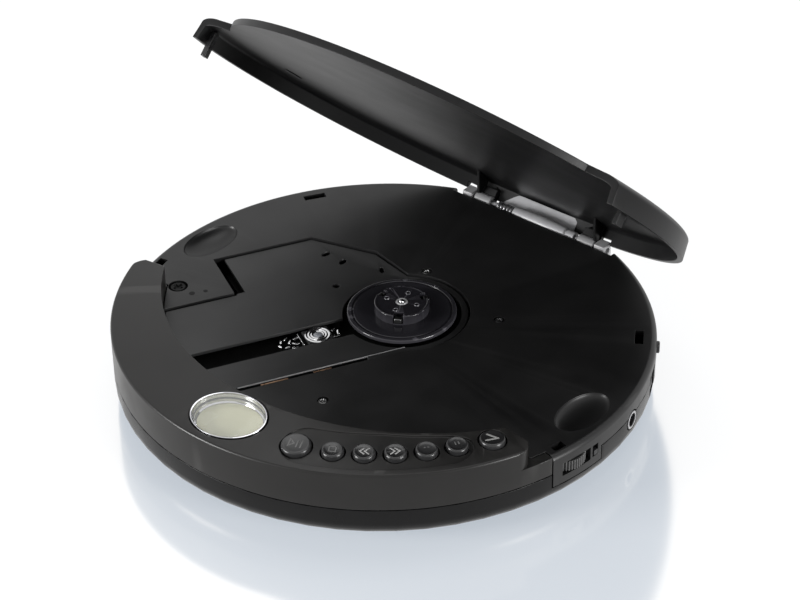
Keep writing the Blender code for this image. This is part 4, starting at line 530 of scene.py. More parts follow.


# The edge paling in the finishes below is partly wear and partly painted edge highlight
CASE = finish("case_charcoal", (0.0052, 0.0052, 0.0054), (0.0082, 0.0081, 0.0082), 0.4,
              specular=0.33, grain=0.25, wear_and_highlight=0.2)
LOWER = finish("lower_black", (0.0035, 0.0035, 0.0037), (0.0055, 0.0055, 0.0057), 0.3,
               specular=0.16, grain=0.15)
PANEL = finish("panel_satin", (0.0078, 0.0075, 0.0072), (0.011, 0.0105, 0.01), 0.34,
               specular=0.26, grain=0.12, grain_size=0.12 * MM, wear_and_highlight=0.35)
LID_SKIN = finish("lid_gloss", (0.004, 0.004, 0.0042), (0.006, 0.006, 0.0062), 0.38,
                  specular=0.14, grain=0.08, spread=0.02, wear_and_highlight=0.3)
SMOKY = finish("smoky_plastic", (0.012, 0.012, 0.013), (0.018, 0.018, 0.019), 0.25, alpha=0.92)
KEY = finish("key_black", (0.009, 0.009, 0.0095), (0.013, 0.013, 0.0135), 0.3, grain=0.15, wear_and_highlight=0.5)
MARK = finish("key_mark", (0.2, 0.2, 0.2), (0.34, 0.34, 0.33), 0.42, grain=0.2)
FAINT = finish("faint_mark", (0.06, 0.06, 0.06), (0.1, 0.1, 0.098), 0.42, grain=0.2)
BLACK = finish("black_plastic", (0.008, 0.008, 0.009), (0.016, 0.016, 0.017), 0.4,
               specular=0.4, grain=0.3)
# Near-black painted shade: the mechanism seen through the deck's gaps, a screw in its recess, dimples and a
# slot
SHADE_BLACK = finish("painted_shade_black", (0.002, 0.002, 0.002), (0.004, 0.004, 0.004), 0.55, specular=0.15)
COVER = finish("cover_plastic", (0.0075, 0.0075, 0.0078), (0.011, 0.011, 0.0112), 0.4,
               specular=0.35, grain=0.2, wear_and_highlight=0.4)
TABLE = finish("turntable_plastic", (0.011, 0.0105, 0.013), (0.017, 0.0162, 0.02), 0.18,
               grain=0.05, wear_and_highlight=0.9)
SOCKET = finish("socket_plastic", (0.012, 0.012, 0.013), (0.02, 0.02, 0.021), 0.35, grain=0.25, wear_and_highlight=0.4)
WHEEL = finish("wheel_black", (0.008, 0.008, 0.008), (0.014, 0.014, 0.014), 0.45, specular=0.4, wear_and_highlight=0.7)
GREY = finish("hinge_plastic", (0.15, 0.15, 0.153), (0.22, 0.22, 0.224), 0.4, grain=0.2, wear_and_highlight=0.4)
CHROME = finish("bright_metal", (0.62, 0.62, 0.63), (0.74, 0.74, 0.75), 0.14, metallic=1.0, spread=0.05)
BEZEL = finish("bezel_metal", (0.5, 0.5, 0.52), (0.62, 0.62, 0.64), 0.1, metallic=1.0, spread=0.04)
STEEL = finish("steel", (0.4, 0.4, 0.41), (0.52, 0.52, 0.53), 0.3, metallic=1.0, cloud=3 * MM, grain=0.25)
DARK_STEEL = finish("dark_steel", (0.1, 0.1, 0.1), (0.18, 0.18, 0.18), 0.3, metallic=1.0, grain=0.2)
# On the hinge bar and on the plate on the lid's rear wall, this light grey is partly painted light
HINGE_METAL = finish("hinge_grey", (0.26, 0.26, 0.27), (0.4, 0.4, 0.41), 0.42,
                     metallic=0.1, cloud=3 * MM, grain=0.3)
COPPER = finish("copper_wire", (0.16, 0.075, 0.04), (0.55, 0.36, 0.24), 0.3,
                metallic=1.0, cloud=2 * MM, grain=0.3)
LCD = finish("lcd_glass", (0.48, 0.47, 0.31), (0.56, 0.55, 0.38), 0.25, cloud=9 * MM, coat=0.3)
WINDOW = finish("clear_window", (0.85, 0.87, 0.84), (0.9, 0.92, 0.9), 0.04,
                specular=1.0, alpha=0.12, spread=0.02)
LENS = finish("lens_glass", (0.22, 0.23, 0.26), (0.3, 0.31, 0.34), 0.04,
              specular=1.0, coat=1.0, alpha=0.75, spread=0.02)
# Finishes that only nodes in their own form take, by the name of their slot
finish("soft_rubber", (0.03, 0.03, 0.03), (0.05, 0.05, 0.05), 0.8, grain=0.6)
finish("foot_rubber", (0.012, 0.012, 0.012), (0.02, 0.02, 0.02), 0.85, grain=0.7)
finish("circuit_board", (0.01, 0.05, 0.03), (0.02, 0.09, 0.05), 0.4, grain=0.2)
finish("flex_film", (0.28, 0.12, 0.03), (0.36, 0.17, 0.05), 0.35, grain=0.15)
finish("clear_plastic", (0.75, 0.8, 0.8), (0.85, 0.88, 0.88), 0.1, alpha=0.45)
# Nodes whose finish isn't that of their slot; the near-black ones are painted shade, for parts deep inside
# the opening or in a recess
NODE_FINISHES = {
    "deck_screw": SHADE_BLACK, "mechanism_screw_side": BLACK, "mechanism_screw_front": DARK_STEEL,
    "mechanism_screw_rear": DARK_STEEL, "lower_case": LOWER, "mechanism_chassis": SHADE_BLACK,
    "pickup_sled": SHADE_BLACK, "main_board": SHADE_BLACK,
}


def ring_sector(radii, azimuths, count):
    outer = arc((0.0, 0.0), (radii[1], radii[1]), azimuths[0], azimuths[1], count)
    inner = arc((0.0, 0.0), (radii[0], radii[0]), azimuths[1], azimuths[0], count)
    return outer + inner


def crescent_outline(grow):
    """Everything in front of the crescent's inner arc and its two ends, grown or shrunk all round."""
    radius = PANEL_ARC_RADIUS - grow
    end_y = PANEL_END_Y + grow
    half = acos((PANEL_ARC_Y - end_y) / radius)
    inner = arc((0.0, PANEL_ARC_Y), (radius, radius), -TURN / 4 - half, -TURN / 4 + half, 90)
    far = BODY_RADIUS + OVER * 3
    return inner + [(far, end_y), (far, -far), (-far, -far), (-far, end_y)]


def crescent_inner(azimuth):
    """Distance from the body's axis to the crescent's inner arc at an azimuth."""
    lift = PANEL_ARC_Y * sin(azimuth)
    return lift + sqrt(PANEL_ARC_RADIUS ** 2 - (PANEL_ARC_Y * cos(azimuth)) ** 2)


def both_joints(low, high, radii, grow, name):
    start = JOINT_AZIMUTH + grow / BODY_RADIUS
    spans = ((SKIRT_AZIMUTH, start), (TURN / 2 - start, TURN / 2 - SKIRT_AZIMUTH))
    return [slab(f"{name}_{i}", ring_sector(radii, span, 8), low, high) for i, span in enumerate(spans)]


def outward(azimuth, height):
    """A frame on the body's axis whose +X points outward at an azimuth."""
    return shift(0.0, 0.0, height) @ rotate(azimuth)


def panel_spot(ring, azimuth, tilt=PANEL_TILT):
    """A frame on the crescent's top: +X down its slope, +Y along it and +Z out of it."""
    x, y = polar(ring, azimuth)
    return shift(x, y, panel_top(ring)) @ rotate(azimuth) @ rotate(tilt, "Y")


def display_spot():
    return panel_spot(DISPLAY_RING, DISPLAY_AZIMUTH) @ rotate(DISPLAY_TURN)


def opening_outline(inset):
    """Outline of the deck's opening, or of the cover in it, in the mechanism's frame."""
    radius = OPENING_RADIUS - inset
    side = OPENING_SIDE - inset
    start = atan2(side, sqrt(radius * radius - side * side))
    return [
        (OPENING_REACH, side), *arc((0.0, 0.0), (radius, radius), start, OPENING_ARC_END, 48),
        (-BAY_CORNER_ALONG + inset, -BAY_CORNER_SIDE + inset),
        (BAY_NEAR + inset / 2, -BAY_SIDE + inset), (BAY_FAR - inset, -BAY_SIDE + inset),
        (BAY_FAR - inset, -OPENING_BACK + inset), (OPENING_REACH, -OPENING_BACK + inset),
    ]


def side_slot(name, azimuth, height, size, start):
    low = (start, -size[0] / 2, -size[1] / 2)
    high = (BODY_RADIUS + OVER * 2, size[0] / 2, size[1] / 2)
    return block(name, low, high, outward(azimuth, height))


def make_upper_case():
    shoulder = arc((BODY_RADIUS - SHOULDER, DECK_Z - SHOULDER), (SHOULDER, SHOULDER), TURN / 4, 0.0, 10)
    low = TAB_Z + GAP
    case = revolve("upper_case_shell", [
        (0.0, DECK_Z), *shoulder, (BODY_RADIUS, low), (INNER_RADIUS, low), (INNER_RADIUS, DECK_UNDER_Z),
        (0.0, DECK_UNDER_Z)])
    wide = (INNER_RADIUS - OVER, BODY_RADIUS + OVER)
    round_again = (TAB_AZIMUTHS[1], TAB_AZIMUTHS[0] + TURN)
    cut(case, slab("below_seam", ring_sector(wide, round_again, FINE), TAB_Z - OVER, SEAM_HIGH_Z))
    pocket = block("pocket_block", (-POCKET_HALF - WALL, POCKET_Y - WALL, SEAM_HIGH_Z + STEP),
                   (POCKET_HALF + WALL, BODY_RADIUS, DECK_UNDER_Z + BITE))
    keep(pocket, rod("pocket_round", INNER_RADIUS + BITE, 0.0, DECK_Z, sides=FINE))
    join(case, pocket)
    for i, (x, y) in enumerate(SCOOP_CENTRES):
        bowl = orb(f"scoop_bowl_{i}", [value + SCOOP_WALL for value in SCOOP_HALF], (x, y, DECK_Z))
        cut(bowl, block(f"scoop_trim_{i}", (x - BODY_RADIUS, -BODY_RADIUS, DECK_Z - BITE),
                        (x + BODY_RADIUS, BODY_RADIUS, DECK_Z + BODY_RADIUS)))
        keep(bowl, rod(f"scoop_round_{i}", INNER_RADIUS + BITE, 0.0, DECK_Z, sides=FINE))
        join(case, bowl)
    cut(case, slab("crescent_gap", crescent_outline(GAP), -OVER, CREASE_Z * 2),
        *both_joints(0.0, CREASE_Z, (INNER_RADIUS - SHOULDER, BODY_RADIUS + OVER), GAP, "joint_gap"),
        slab("deck_opening", opening_outline(0.0), DECK_UNDER_Z - OVER, DECK_Z + OVER, MECHANISM),
        block("hinge_pocket", (-POCKET_HALF, POCKET_Y, POCKET_Z),
              (POCKET_HALF, BODY_RADIUS + OVER, DECK_Z + OVER)))
    start = INNER_RADIUS - OVER * 3
    holes = [orb(f"scoop_{i}", SCOOP_HALF, (x, y, DECK_Z)) for i, (x, y) in enumerate(SCOOP_CENTRES)]
    for i, azimuth in enumerate(REAR_SLOT_AZIMUTHS):
        holes.append(post(f"rear_slot_{i}", REAR_SLOT_RING, REAR_SLOT_HALF, -OVER * 3, OVER,
                          outward(azimuth, DECK_Z)))
    holes += [
        rod("jack_hole", JACK_RADIUS + GAP, start, BODY_RADIUS + OVER, axis="X",
            place=outward(JACK_AZIMUTH, JACK_Z)),
        side_slot("dc_hole", DC_AZIMUTH, DC_Z, [value + GAP * 2 for value in DC_SIZE], start),
        side_slot("wheel_window", WHEEL_AZIMUTH, SEAM_Z, WINDOW_SIZE, start),
        side_slot("switch_slot", SWITCH_AZIMUTH, SWITCH_Z, SWITCH_SLOT, INNER_RADIUS - OVER),
    ]
    cut(case, *holes)
    join(case, block("strap_nub", (INNER_RADIUS + BITE, -NUB_HALF[0], -NUB_HALF[1]),
                     (BODY_RADIUS + NUB_PROUD, *NUB_HALF), outward(NUB_AZIMUTH, NUB_Z), BITE))
    round_edges(case, 0.12 * MM)
    # Small holes are cut after the edges are rounded, because bevels would cross in their corners
    notch = [value + LATCH_PLAY for value in LATCH_HALF]
    late = [post(name, LATCH_RING, notch, -OVER * 3, OVER, outward(azimuth, DECK_Z))
            for name, azimuth in (("latch_notch", LATCH_AZIMUTH), ("switch_notch", SWITCH_TAB_AZIMUTH))]
    for name, (x, y, head) in DECK_SCREWS.items():
        shank = head * SCREW_SINK_SHARE
        late.append(rod(name + "_sink", head + RUN, DECK_Z - shank - GAP, DECK_Z + OVER, (x, y), MEDIUM))
        late.append(rod(name + "_bore", shank + RUN, DECK_UNDER_Z - OVER * 4, DECK_Z, (x, y)))
    cut(case, *late)
    stand_for(case, CASE, "upper_case")


def make_deck_details():
    """The two lugs that carry the hinge shaft, and the mould marks beside the deck's screw as near-black
    discs of painted shade.
    """
    for side in (-1, 1):
        inner, outer = sorted(side * value for value in LUG_X)
        lug = block(f"hinge_lug_{side}", (inner, HINGE_Y - LUG_HALF, POCKET_Z - BITE * 2),
                    (outer, HINGE_Y + LUG_HALF, HINGE_Z + LUG_HALF), rounding=GAP)
        cut(lug, rod(f"lug_bore_{side}", PIN_RADIUS + RUN, inner - OVER, outer + OVER, (HINGE_Y, HINGE_Z),
                     axis="X"))
        dress(lug, GREY, "body", "case_charcoal")
    # Each mould mark is a near-black disc: painted shade of a shallow dimple
    for i, (x, y, size) in enumerate(MOULD_MARKS):
        mark = rod(f"mould_mark_{i}", size, DECK_Z - STEP, DECK_Z + MOULD_MARK_PROUD, (x, y))
        dress(mark, SHADE_BLACK, "body", "case_charcoal")


def tray_cutter():
    """The tray's space: a slab with round ends, modelled flat and then laid along the sloping crescent."""
    half = TRAY_HALF_WIDTH
    span = TRAY_RING * (TRAY_AZIMUTHS[1] - TRAY_AZIMUTHS[0])
    reach = span / 2 - half
    outline = (arc((reach, 0.0), (half, half), -TURN / 4, TURN / 4, 24)
               + arc((-reach, 0.0), (half, half), TURN / 4, TURN * 3 / 4, 24))
    tool = slab("tray_space", outline, -TRAY_DEPTH, OVER)
    shape = bmesh.new()
    shape.from_mesh(tool.data)
    slices = 36
    for i in range(1, slices):
        along = -span / 2 + span * i / slices
        geometry = list(shape.verts) + list(shape.edges) + list(shape.faces)
        bmesh.ops.bisect_plane(shape, geom=geometry, plane_co=(along, 0, 0), plane_no=(1, 0, 0))
    middle = (TRAY_AZIMUTHS[0] + TRAY_AZIMUTHS[1]) / 2
    for vert in shape.verts:
        along, across, height = vert.co
        azimuth = middle + along / TRAY_RING
        if across > 0:
            room = TRAY_RING - crescent_inner(azimuth) - TRAY_MARGIN
            across *= min(1.0, room / half)
        radius = TRAY_RING - across
        x, y = polar(radius, azimuth)
        vert.co = (x, y, panel_top(radius) + height)
    bmesh.ops.recalc_face_normals(shape, faces=shape.faces)
    shape.to_mesh(tool.data)
    shape.free()
    return tool


def end_cutters(side):
    """What rounds one end of the crescent above the deck: its two upright corners and its top edge."""
    outer, inner = TIP_OUTER_ROUND, TIP_INNER_ROUND
    outer_y, inner_y = PANEL_END_Y - outer, PANEL_END_Y - inner
    outer_x = sqrt((BODY_RADIUS - outer) ** 2 - outer_y ** 2)
    inner_x = sqrt((PANEL_ARC_RADIUS + inner) ** 2 - (PANEL_ARC_Y - inner_y) ** 2)
    lean_out = atan2(outer_y, outer_x)
    lean_in = atan2(inner_y - PANEL_ARC_Y, inner_x) + TURN / 2
    far_x, far_y = BODY_RADIUS + OVER, PANEL_END_Y + OVER
    back_x = inner_x - inner * 2
    corners = [
        arc((outer_x, outer_y), (outer, outer), lean_out, TURN / 4, 12)
        + [(outer_x, far_y), (far_x, far_y), (far_x, outer_y + outer * sin(lean_out))],
        arc((inner_x, inner_y), (inner, inner), TURN / 4, lean_in, 12)
        + [(back_x, inner_y), (back_x, far_y), (inner_x, far_y)],
    ]
    tools = [slab(f"tip_corner_{side}_{i}", [(side * x, y) for x, y in outline], DECK_Z + HAIR, CREASE_Z * 2)
             for i, outline in enumerate(corners)]
    edge_y = PANEL_END_Y - TIP_TOP_ROUND
    height = panel_top(hypot(TIP_EDGE_X, edge_y)) - TIP_TOP_ROUND
    place = (shift(side * TIP_EDGE_X, edge_y, height)
             @ rotate(side * TIP_EDGE_SLOPE, "Y"))
    edge = block(f"tip_edge_{side}", (-TIP_EDGE_HALF, 0.0, 0.0),
                 (TIP_EDGE_HALF, TIP_TOP_ROUND + OVER, TIP_TOP_ROUND * 2), place)
    reach = TIP_EDGE_HALF + OVER * 3
    cut(edge, rod(f"tip_round_{side}", TIP_TOP_ROUND, -reach, reach, axis="X", sides=96, place=place))
    return tools + [edge]


def make_panel():
    rim = arc((BODY_RADIUS - CREASE_ROUND, CREASE_Z - CREASE_ROUND), (CREASE_ROUND, CREASE_ROUND),
              TURN / 5, 0.0, 8)
    panel = revolve("crescent_panel", [
        (0.0, panel_top(0.0)), *rim, (BODY_RADIUS, SEAM_HIGH_Z), (INNER_RADIUS, SEAM_HIGH_Z),
        (INNER_RADIUS, PANEL_WALL_Z), (0.0, PANEL_WALL_Z)])
    crescent = slab("crescent", crescent_outline(0.0), 0.0, CREASE_Z * 2)
    radii = (INNER_RADIUS - SHOULDER + GAP, BODY_RADIUS + OVER)
    join(crescent, *both_joints(STEP, DECK_Z, radii, 0.0, "joint"))
    keep(panel, crescent)
    inside = INNER_RADIUS - STEP
    hollow = revolve("panel_hollow", [(0.0, panel_top(0.0) - WALL), (inside, panel_top(inside) - WALL),
                                      (inside, SEAM_Z), (0.0, SEAM_Z)])
    keep(hollow, slab("crescent_inside", crescent_outline(-WALL), 0.0, CREASE_Z * 2))
    cut(panel, hollow)
    cut(panel, tray_cutter())
    wells = []
    for name, azimuth in KEY_AZIMUTHS.items():
        radius = (PLAY_RADIUS if name == "play_button" else KEY_RADIUS) + GAP
        wells.append(rod(name + "_well", radius, -WALL * 2, OVER * 4, sides=MEDIUM,
                         place=panel_spot(KEY_RING, radians(azimuth))))
    wells.append(rod("open_well", OPEN_RADIUS + GAP, -OVER * 9, OVER * 4, sides=MEDIUM,
                     place=panel_spot(OPEN_RING, radians(OPEN_AZIMUTH), 0.0)))
    wells.append(rod("display_well", 0.0, -BEZEL_HEIGHT - OVER, OVER * 4, sides=FINE,
                     half=[value + GAP / 2 for value in DISPLAY_HALF], place=display_spot()))
    cut(panel, *wells)
    round_edges(panel, 0.2 * MM, 3)
    for side in (-1, 1):
        cut(panel, *end_cutters(side))
    stand_for(panel, PANEL, "control_panel")


def bar(name, start, end, width, top, place):
    """A short raised stroke between two points of a key's face."""
    (x0, y0), (x1, y1) = start, end
    length = hypot(x1 - x0, y1 - y0)
    turn = shift(x0, y0, 0.0) @ rotate(atan2(y1 - y0, x1 - x0))
    return block(name, (-width / 2, -width / 2, top - 0.3 * MM), (length + width / 2, width / 2, top),
                 place @ turn, HAIR)


def make_key(name, radius, place, depth):
    """A key with a slightly hollow face, a rounded rim and a raised mark."""
    proud = KEY_PROUD
    round_z = proud - 0.5 * MM
    cap = revolve(name + "_cap", [
        (0.0, proud - 0.14 * MM), (radius * 0.5, proud - 0.12 * MM), (radius * 0.76, proud - 0.03 * MM),
        *arc((radius - 0.62 * MM, round_z), mm(0.5, 0.5), TURN / 4, TURN / 16, 5),
        (radius - 0.03 * MM, proud - 0.75 * MM), (radius - 0.02 * MM, -depth), (0.0, -depth)], MEDIUM, place)
    stand_for(cap, KEY, name)
    drawn = place @ rotate(TURN / 4 + MARK_TURN.get(name, 0.0))
    width = MARK_WIDTH * (1.5 if name == "open_button" else 1.0)
    mark, *others = [
        bar(f"{name}_mark_{i}", *((x * radius, y * radius) for x, y in ends), width, proud - HAIR, drawn)
        for i, ends in enumerate(MARK_SHARES[name])]
    mark.name = name + "_mark"
    if others:
        join(mark, *others)
    dress(mark, MARK if name in BRIGHT_MARKS else FAINT, BODY_OF[name], "key_black")


def make_keys():
    for name, azimuth in KEY_AZIMUTHS.items():
        radius = PLAY_RADIUS if name == "play_button" else KEY_RADIUS
        make_key(name, radius, panel_spot(KEY_RING, radians(azimuth)), 2.4 * MM)
    make_key("open_button", OPEN_RADIUS, panel_spot(OPEN_RING, radians(OPEN_AZIMUTH), 0.0), 3.0 * MM)


def make_display():
    """Pieces of oval section: each point is a share of the display's half widths and a height in mm."""
    bottom = 0.15 - BEZEL_HEIGHT / MM
    for name, material, slot, nodes, sections in (
        ("display_bezel_ring", BEZEL, "bezel_metal", ("display_bezel",), (
            (0.995, -0.1), (0.985, 0.1), (0.965, 0.15), (0.945, 0.08), (0.935, -0.2), (0.9, -2.3),
            (0.86, -2.62), (0.86, bottom), (0.995, bottom))),
        # A thin black band proud of the bezel's bright inner wall: a painted dark reflection
        ("display_dark_band", BLACK, "bezel_metal", (), (
            (0.925, -1.0), (0.911, -1.05), (0.902, -1.55), (0.916, -1.6))),
        ("display_lcd", LCD, "lcd_glass", ("lcd_panel",), (
            (0.0, -2.7), (0.85, -2.7), (0.85, bottom), (0.0, bottom))),
        ("display_glass", WINDOW, "clear_window", ("display_window",), (
            (0.0, 0.12), (0.5, 0.08), (0.85, -0.05), (0.925, -0.2), (0.92, -0.8), (0.0, -0.8))),
    ):
        profile = [(share, height * MM) for share, height in sections]
        piece = revolve(name, profile, FINE, display_spot(), DISPLAY_HALF)
        dress(piece, material, "body", slot, *nodes)


def make_turntable():
    """The platter with its rim and seat, the hub on it, the spindle and the three claws."""
    plane = DISC_PLANE_Z
    top = plane + HUB_HEIGHT
    platter = revolve("turntable_platter", mm_points((
        (1.0, -0.1), (5.0, -0.1), (7.65, -0.03), (12.9, -0.03), (13.0, -0.14), (13.5, -0.14), (13.6, 0.0),
        (14.35, 0.0), (14.53, -0.04), (14.61, -0.12), (14.65, -0.3), (14.65, -0.95), (3.0, -1.0),
        (3.0, -4.7), (1.0, -4.7)), plane), FINE, SPINDLE)
    stand_for(platter, TABLE, "turntable")
    hub = revolve("turntable_hub", mm_points((
        (1.0, 1.8), (1.7, 1.8), (1.8, 2.56), (6.7, 2.58), (6.85, 2.7), (7.15, 2.7), (7.35, 2.5),
        (7.35, -0.06), (1.0, -0.06)), plane), FINE, SPINDLE)
    tools = []
    for i in range(4):
        x, y = polar(DIMPLE_RING, PATH_AZIMUTH + TURN * (i + 0.5) / 4)
        tools.append(rod(f"dimple_{i}", DIMPLE_RADIUS, top - DIMPLE_DEPTH, top + OVER, (x, y + DISC_Y)))
        lip = revolve(f"dimple_lip_{i}", mm_points((
            (0.5, -0.15), (0.55, -0.02), (0.72, -0.02), (0.78, -0.15)), top), COARSE,
                      shift(x, y + DISC_Y, 0.0))
        dress(lip, TABLE, "turntable", "turntable_plastic")
    claw_spots = [SPINDLE @ rotate(PATH_AZIMUTH + TURN * (i + 0.5) / 3) for i in range(3)]
    tools += [post(f"claw_slot_{i}", CLAW_RING, mm(1.8, 1.3), plane + 0.2 * MM, top + OVER, spot)
              for i, spot in enumerate(claw_spots)]
    cut(hub, *tools)
    round_edges(hub, HAIR)
    dress(hub, TABLE, "turntable", "turntable_plastic")
    collar = revolve("spindle_collar", mm_points(((1.0, -0.5), (1.1, -0.1), (1.5, -0.1), (1.7, -0.5)), top),
                     MEDIUM, SPINDLE)
    dress(collar, GREY, "turntable", "turntable_plastic")
    pin = revolve("spindle_pin", mm_points((
        (0.0, 3.1), (0.3, 3.08), (0.62, 2.95), (0.8, 2.7), (0.8, -7.0), (0.0, -7.0))), COARSE,
                  SPINDLE @ shift(0, 0, plane))
    stand_for(pin, CHROME, "spindle_shaft")
    for i, spot in enumerate(claw_spots, 1):
        claw = post(f"claw_{i}_finger", CLAW_RING, mm(0.75, 1.0), plane + 0.5 * MM, plane + 2.0 * MM,
                    spot, GAP)
        stand_for(claw, DARK_STEEL, f"disc_claw_{i}")


def make_cover():
    """The mechanism's cover with its slots, a light grey strip as a painted highlight on its front edge, and
    copper tracks at that edge.
    """
    cover = slab("mechanism_cover_plate", opening_outline(COVER_GAP), COVER_TOP_Z - COVER_THICK, COVER_TOP_Z,
                 MECHANISM)
    edge = OPENING_SIDE - FRONT_GAP
    far = OPENING_REACH + OVER
    tools = [
        rod("cover_bore", COVER_BORE, 0.0, DECK_Z, sides=FINE, place=MECHANISM),
        block("pickup_slot", (0.0, -SLOT_HALF, 0.0), (far, SLOT_HALF, DECK_Z), MECHANISM),
        block("bay_gap", (BAY_FAR - WIDE_GAP, -BAY_SIDE - OVER, 0.0),
              (BAY_FAR + OVER, -OPENING_BACK, DECK_Z), MECHANISM),
        slab("cover_front", crescent_outline(COVER_GAP), 0.0, DECK_Z * 2),
        rod("round_hole", ROUND_HOLE[2], 0.0, DECK_Z, ROUND_HOLE[:2], place=MECHANISM),
        block("front_gap", (COVER_BORE, edge, 0.0), (far, BAY_SIDE, DECK_Z), MECHANISM),
    ]
    for i, (along, side, turn, half) in enumerate(COVER_SLOTS):
        place = MECHANISM @ shift(*mm(along, side, 0.0)) @ rotate(radians(turn))
        wide = (COVER_SLOT_HALF, half * MM)
        tools.append(rod(f"cover_slot_{i}", 0.0, 0.0, DECK_Z, half=wide, place=place))
    cut(cover, *tools)
    round_edges(cover, 0.16 * MM)
    stand_for(cover, COVER, "mechanism_cover")
    # A light grey strip on the cover's front edge: a painted edge highlight
    proud = 0.04 * MM
    lip = block("cover_edge_highlight", (EDGE_HIGHLIGHT_SPAN[0], edge - GAP, COVER_TOP_Z - GAP),
                (EDGE_HIGHLIGHT_SPAN[1], edge + proud, COVER_TOP_Z + proud), MECHANISM, 0.1 * MM)
    dress(lip, GREY, "body", "black_plastic")
    for i, (start, end) in enumerate(COPPER_TRACKS):
        strip = block(f"copper_track_{i}", (start, edge + 0.5 * MM, 15.25 * MM),
                      (end, edge + 0.95 * MM, 15.6 * MM), MECHANISM, 0.1 * MM)
        dress(strip, COPPER, "body", "circuit_board")


def make_pickup():
    """The lens in its bright ring, with the small metal pieces round it on the sled."""
    spot = MECHANISM @ shift(LENS_ALONG, 0.0, 0.0)
    holder = block("lens_frame", mm(-3.6, -3.1, 14.2), mm(3.6, 3.1, 15.2), spot, 0.25 * MM)
    cut(holder, rod("lens_seat", 2.2 * MM, 13.0 * MM, 16.0 * MM, place=spot))
    stand_for(holder, BLACK, "lens_holder")
    ring = revolve("lens_ring", mm_points((
        (1.35, 15.25), (1.6, 15.42), (1.95, 15.24), (2.35, 15.42), (2.75, 15.24), (3.2, 15.4), (3.5, 15.2),
        (3.5, 15.12), (1.35, 15.12))), MEDIUM, spot)
    dress(ring, CHROME, "lens", "bright_metal")
    dome = arc(mm(0.0, 14.9), mm(1.3, 0.75), TURN * 0.22, 0.0, 10)
    glass = revolve("lens_dome", [mm(0.0, 15.65), *dome, mm(1.3, 14.5), mm(0.0, 14.5)], MEDIUM, spot)
    stand_for(glass, LENS, "objective_lens")
    plate = block("spring_plate", mm(4.6, -2.8, 13.7), mm(4.95, 2.8, 15.1), spot, 0.1 * MM)
    dress(plate, CHROME, "sled", "bright_metal")
    for i, (along, side, turn, size) in enumerate(PICKUP_CLIPS):
        place = (MECHANISM @ shift(along * MM, side * MM, PICKUP_CLIP_Z)
                 @ rotate(radians(turn)) @ rotate(radians(turn / 4), "X"))
        half = size / 2
        bit = block(f"pickup_clip_{i}", mm(-half, -0.28, -0.3), mm(half, 0.28, 0.3), place, 0.08 * MM)
        dress(bit, CHROME, "sled", "bright_metal")
    for i, side in enumerate((-1, 1)):
        coil = rod(f"focus_coil_{i}", 0.0, 13.4 * MM, 14.55 * MM, (0.0, side * 3.45 * MM),
                   half=mm(1.3, 0.32), place=spot)
        dress(coil, COPPER, "sled", "bright_metal")


def lid_profile(inner):
    """Points of the lid's dome, shoulder and wall, from the axis to the lip."""
    drop = LID_PLATE if inner else 0.0
    wall = WALL if inner else 0.0
    fall = (LID_TOP_Z - LID_SHOULDER_Z) / (LID_SHOULDER_RADIUS * LID_SHOULDER_RADIUS)
    shoulder_radius = LID_SHOULDER_RADIUS - wall
    radii = [shoulder_radius * i / 12 for i in range(13)]
    dome = [(radius, LID_TOP_Z - drop - fall * radius ** 2) for radius in radii]
    edge_z = dome[-1][1]
    half = (LID_CREASE_RADIUS - wall - shoulder_radius, edge_z - (LID_CREASE_Z - drop / 2))
    shoulder = arc((shoulder_radius, edge_z - half[1]), half, TURN / 4, 0.0, 10)
    return dome + shoulder[1:] + [(BODY_RADIUS - wall, LID_LIP_Z)]


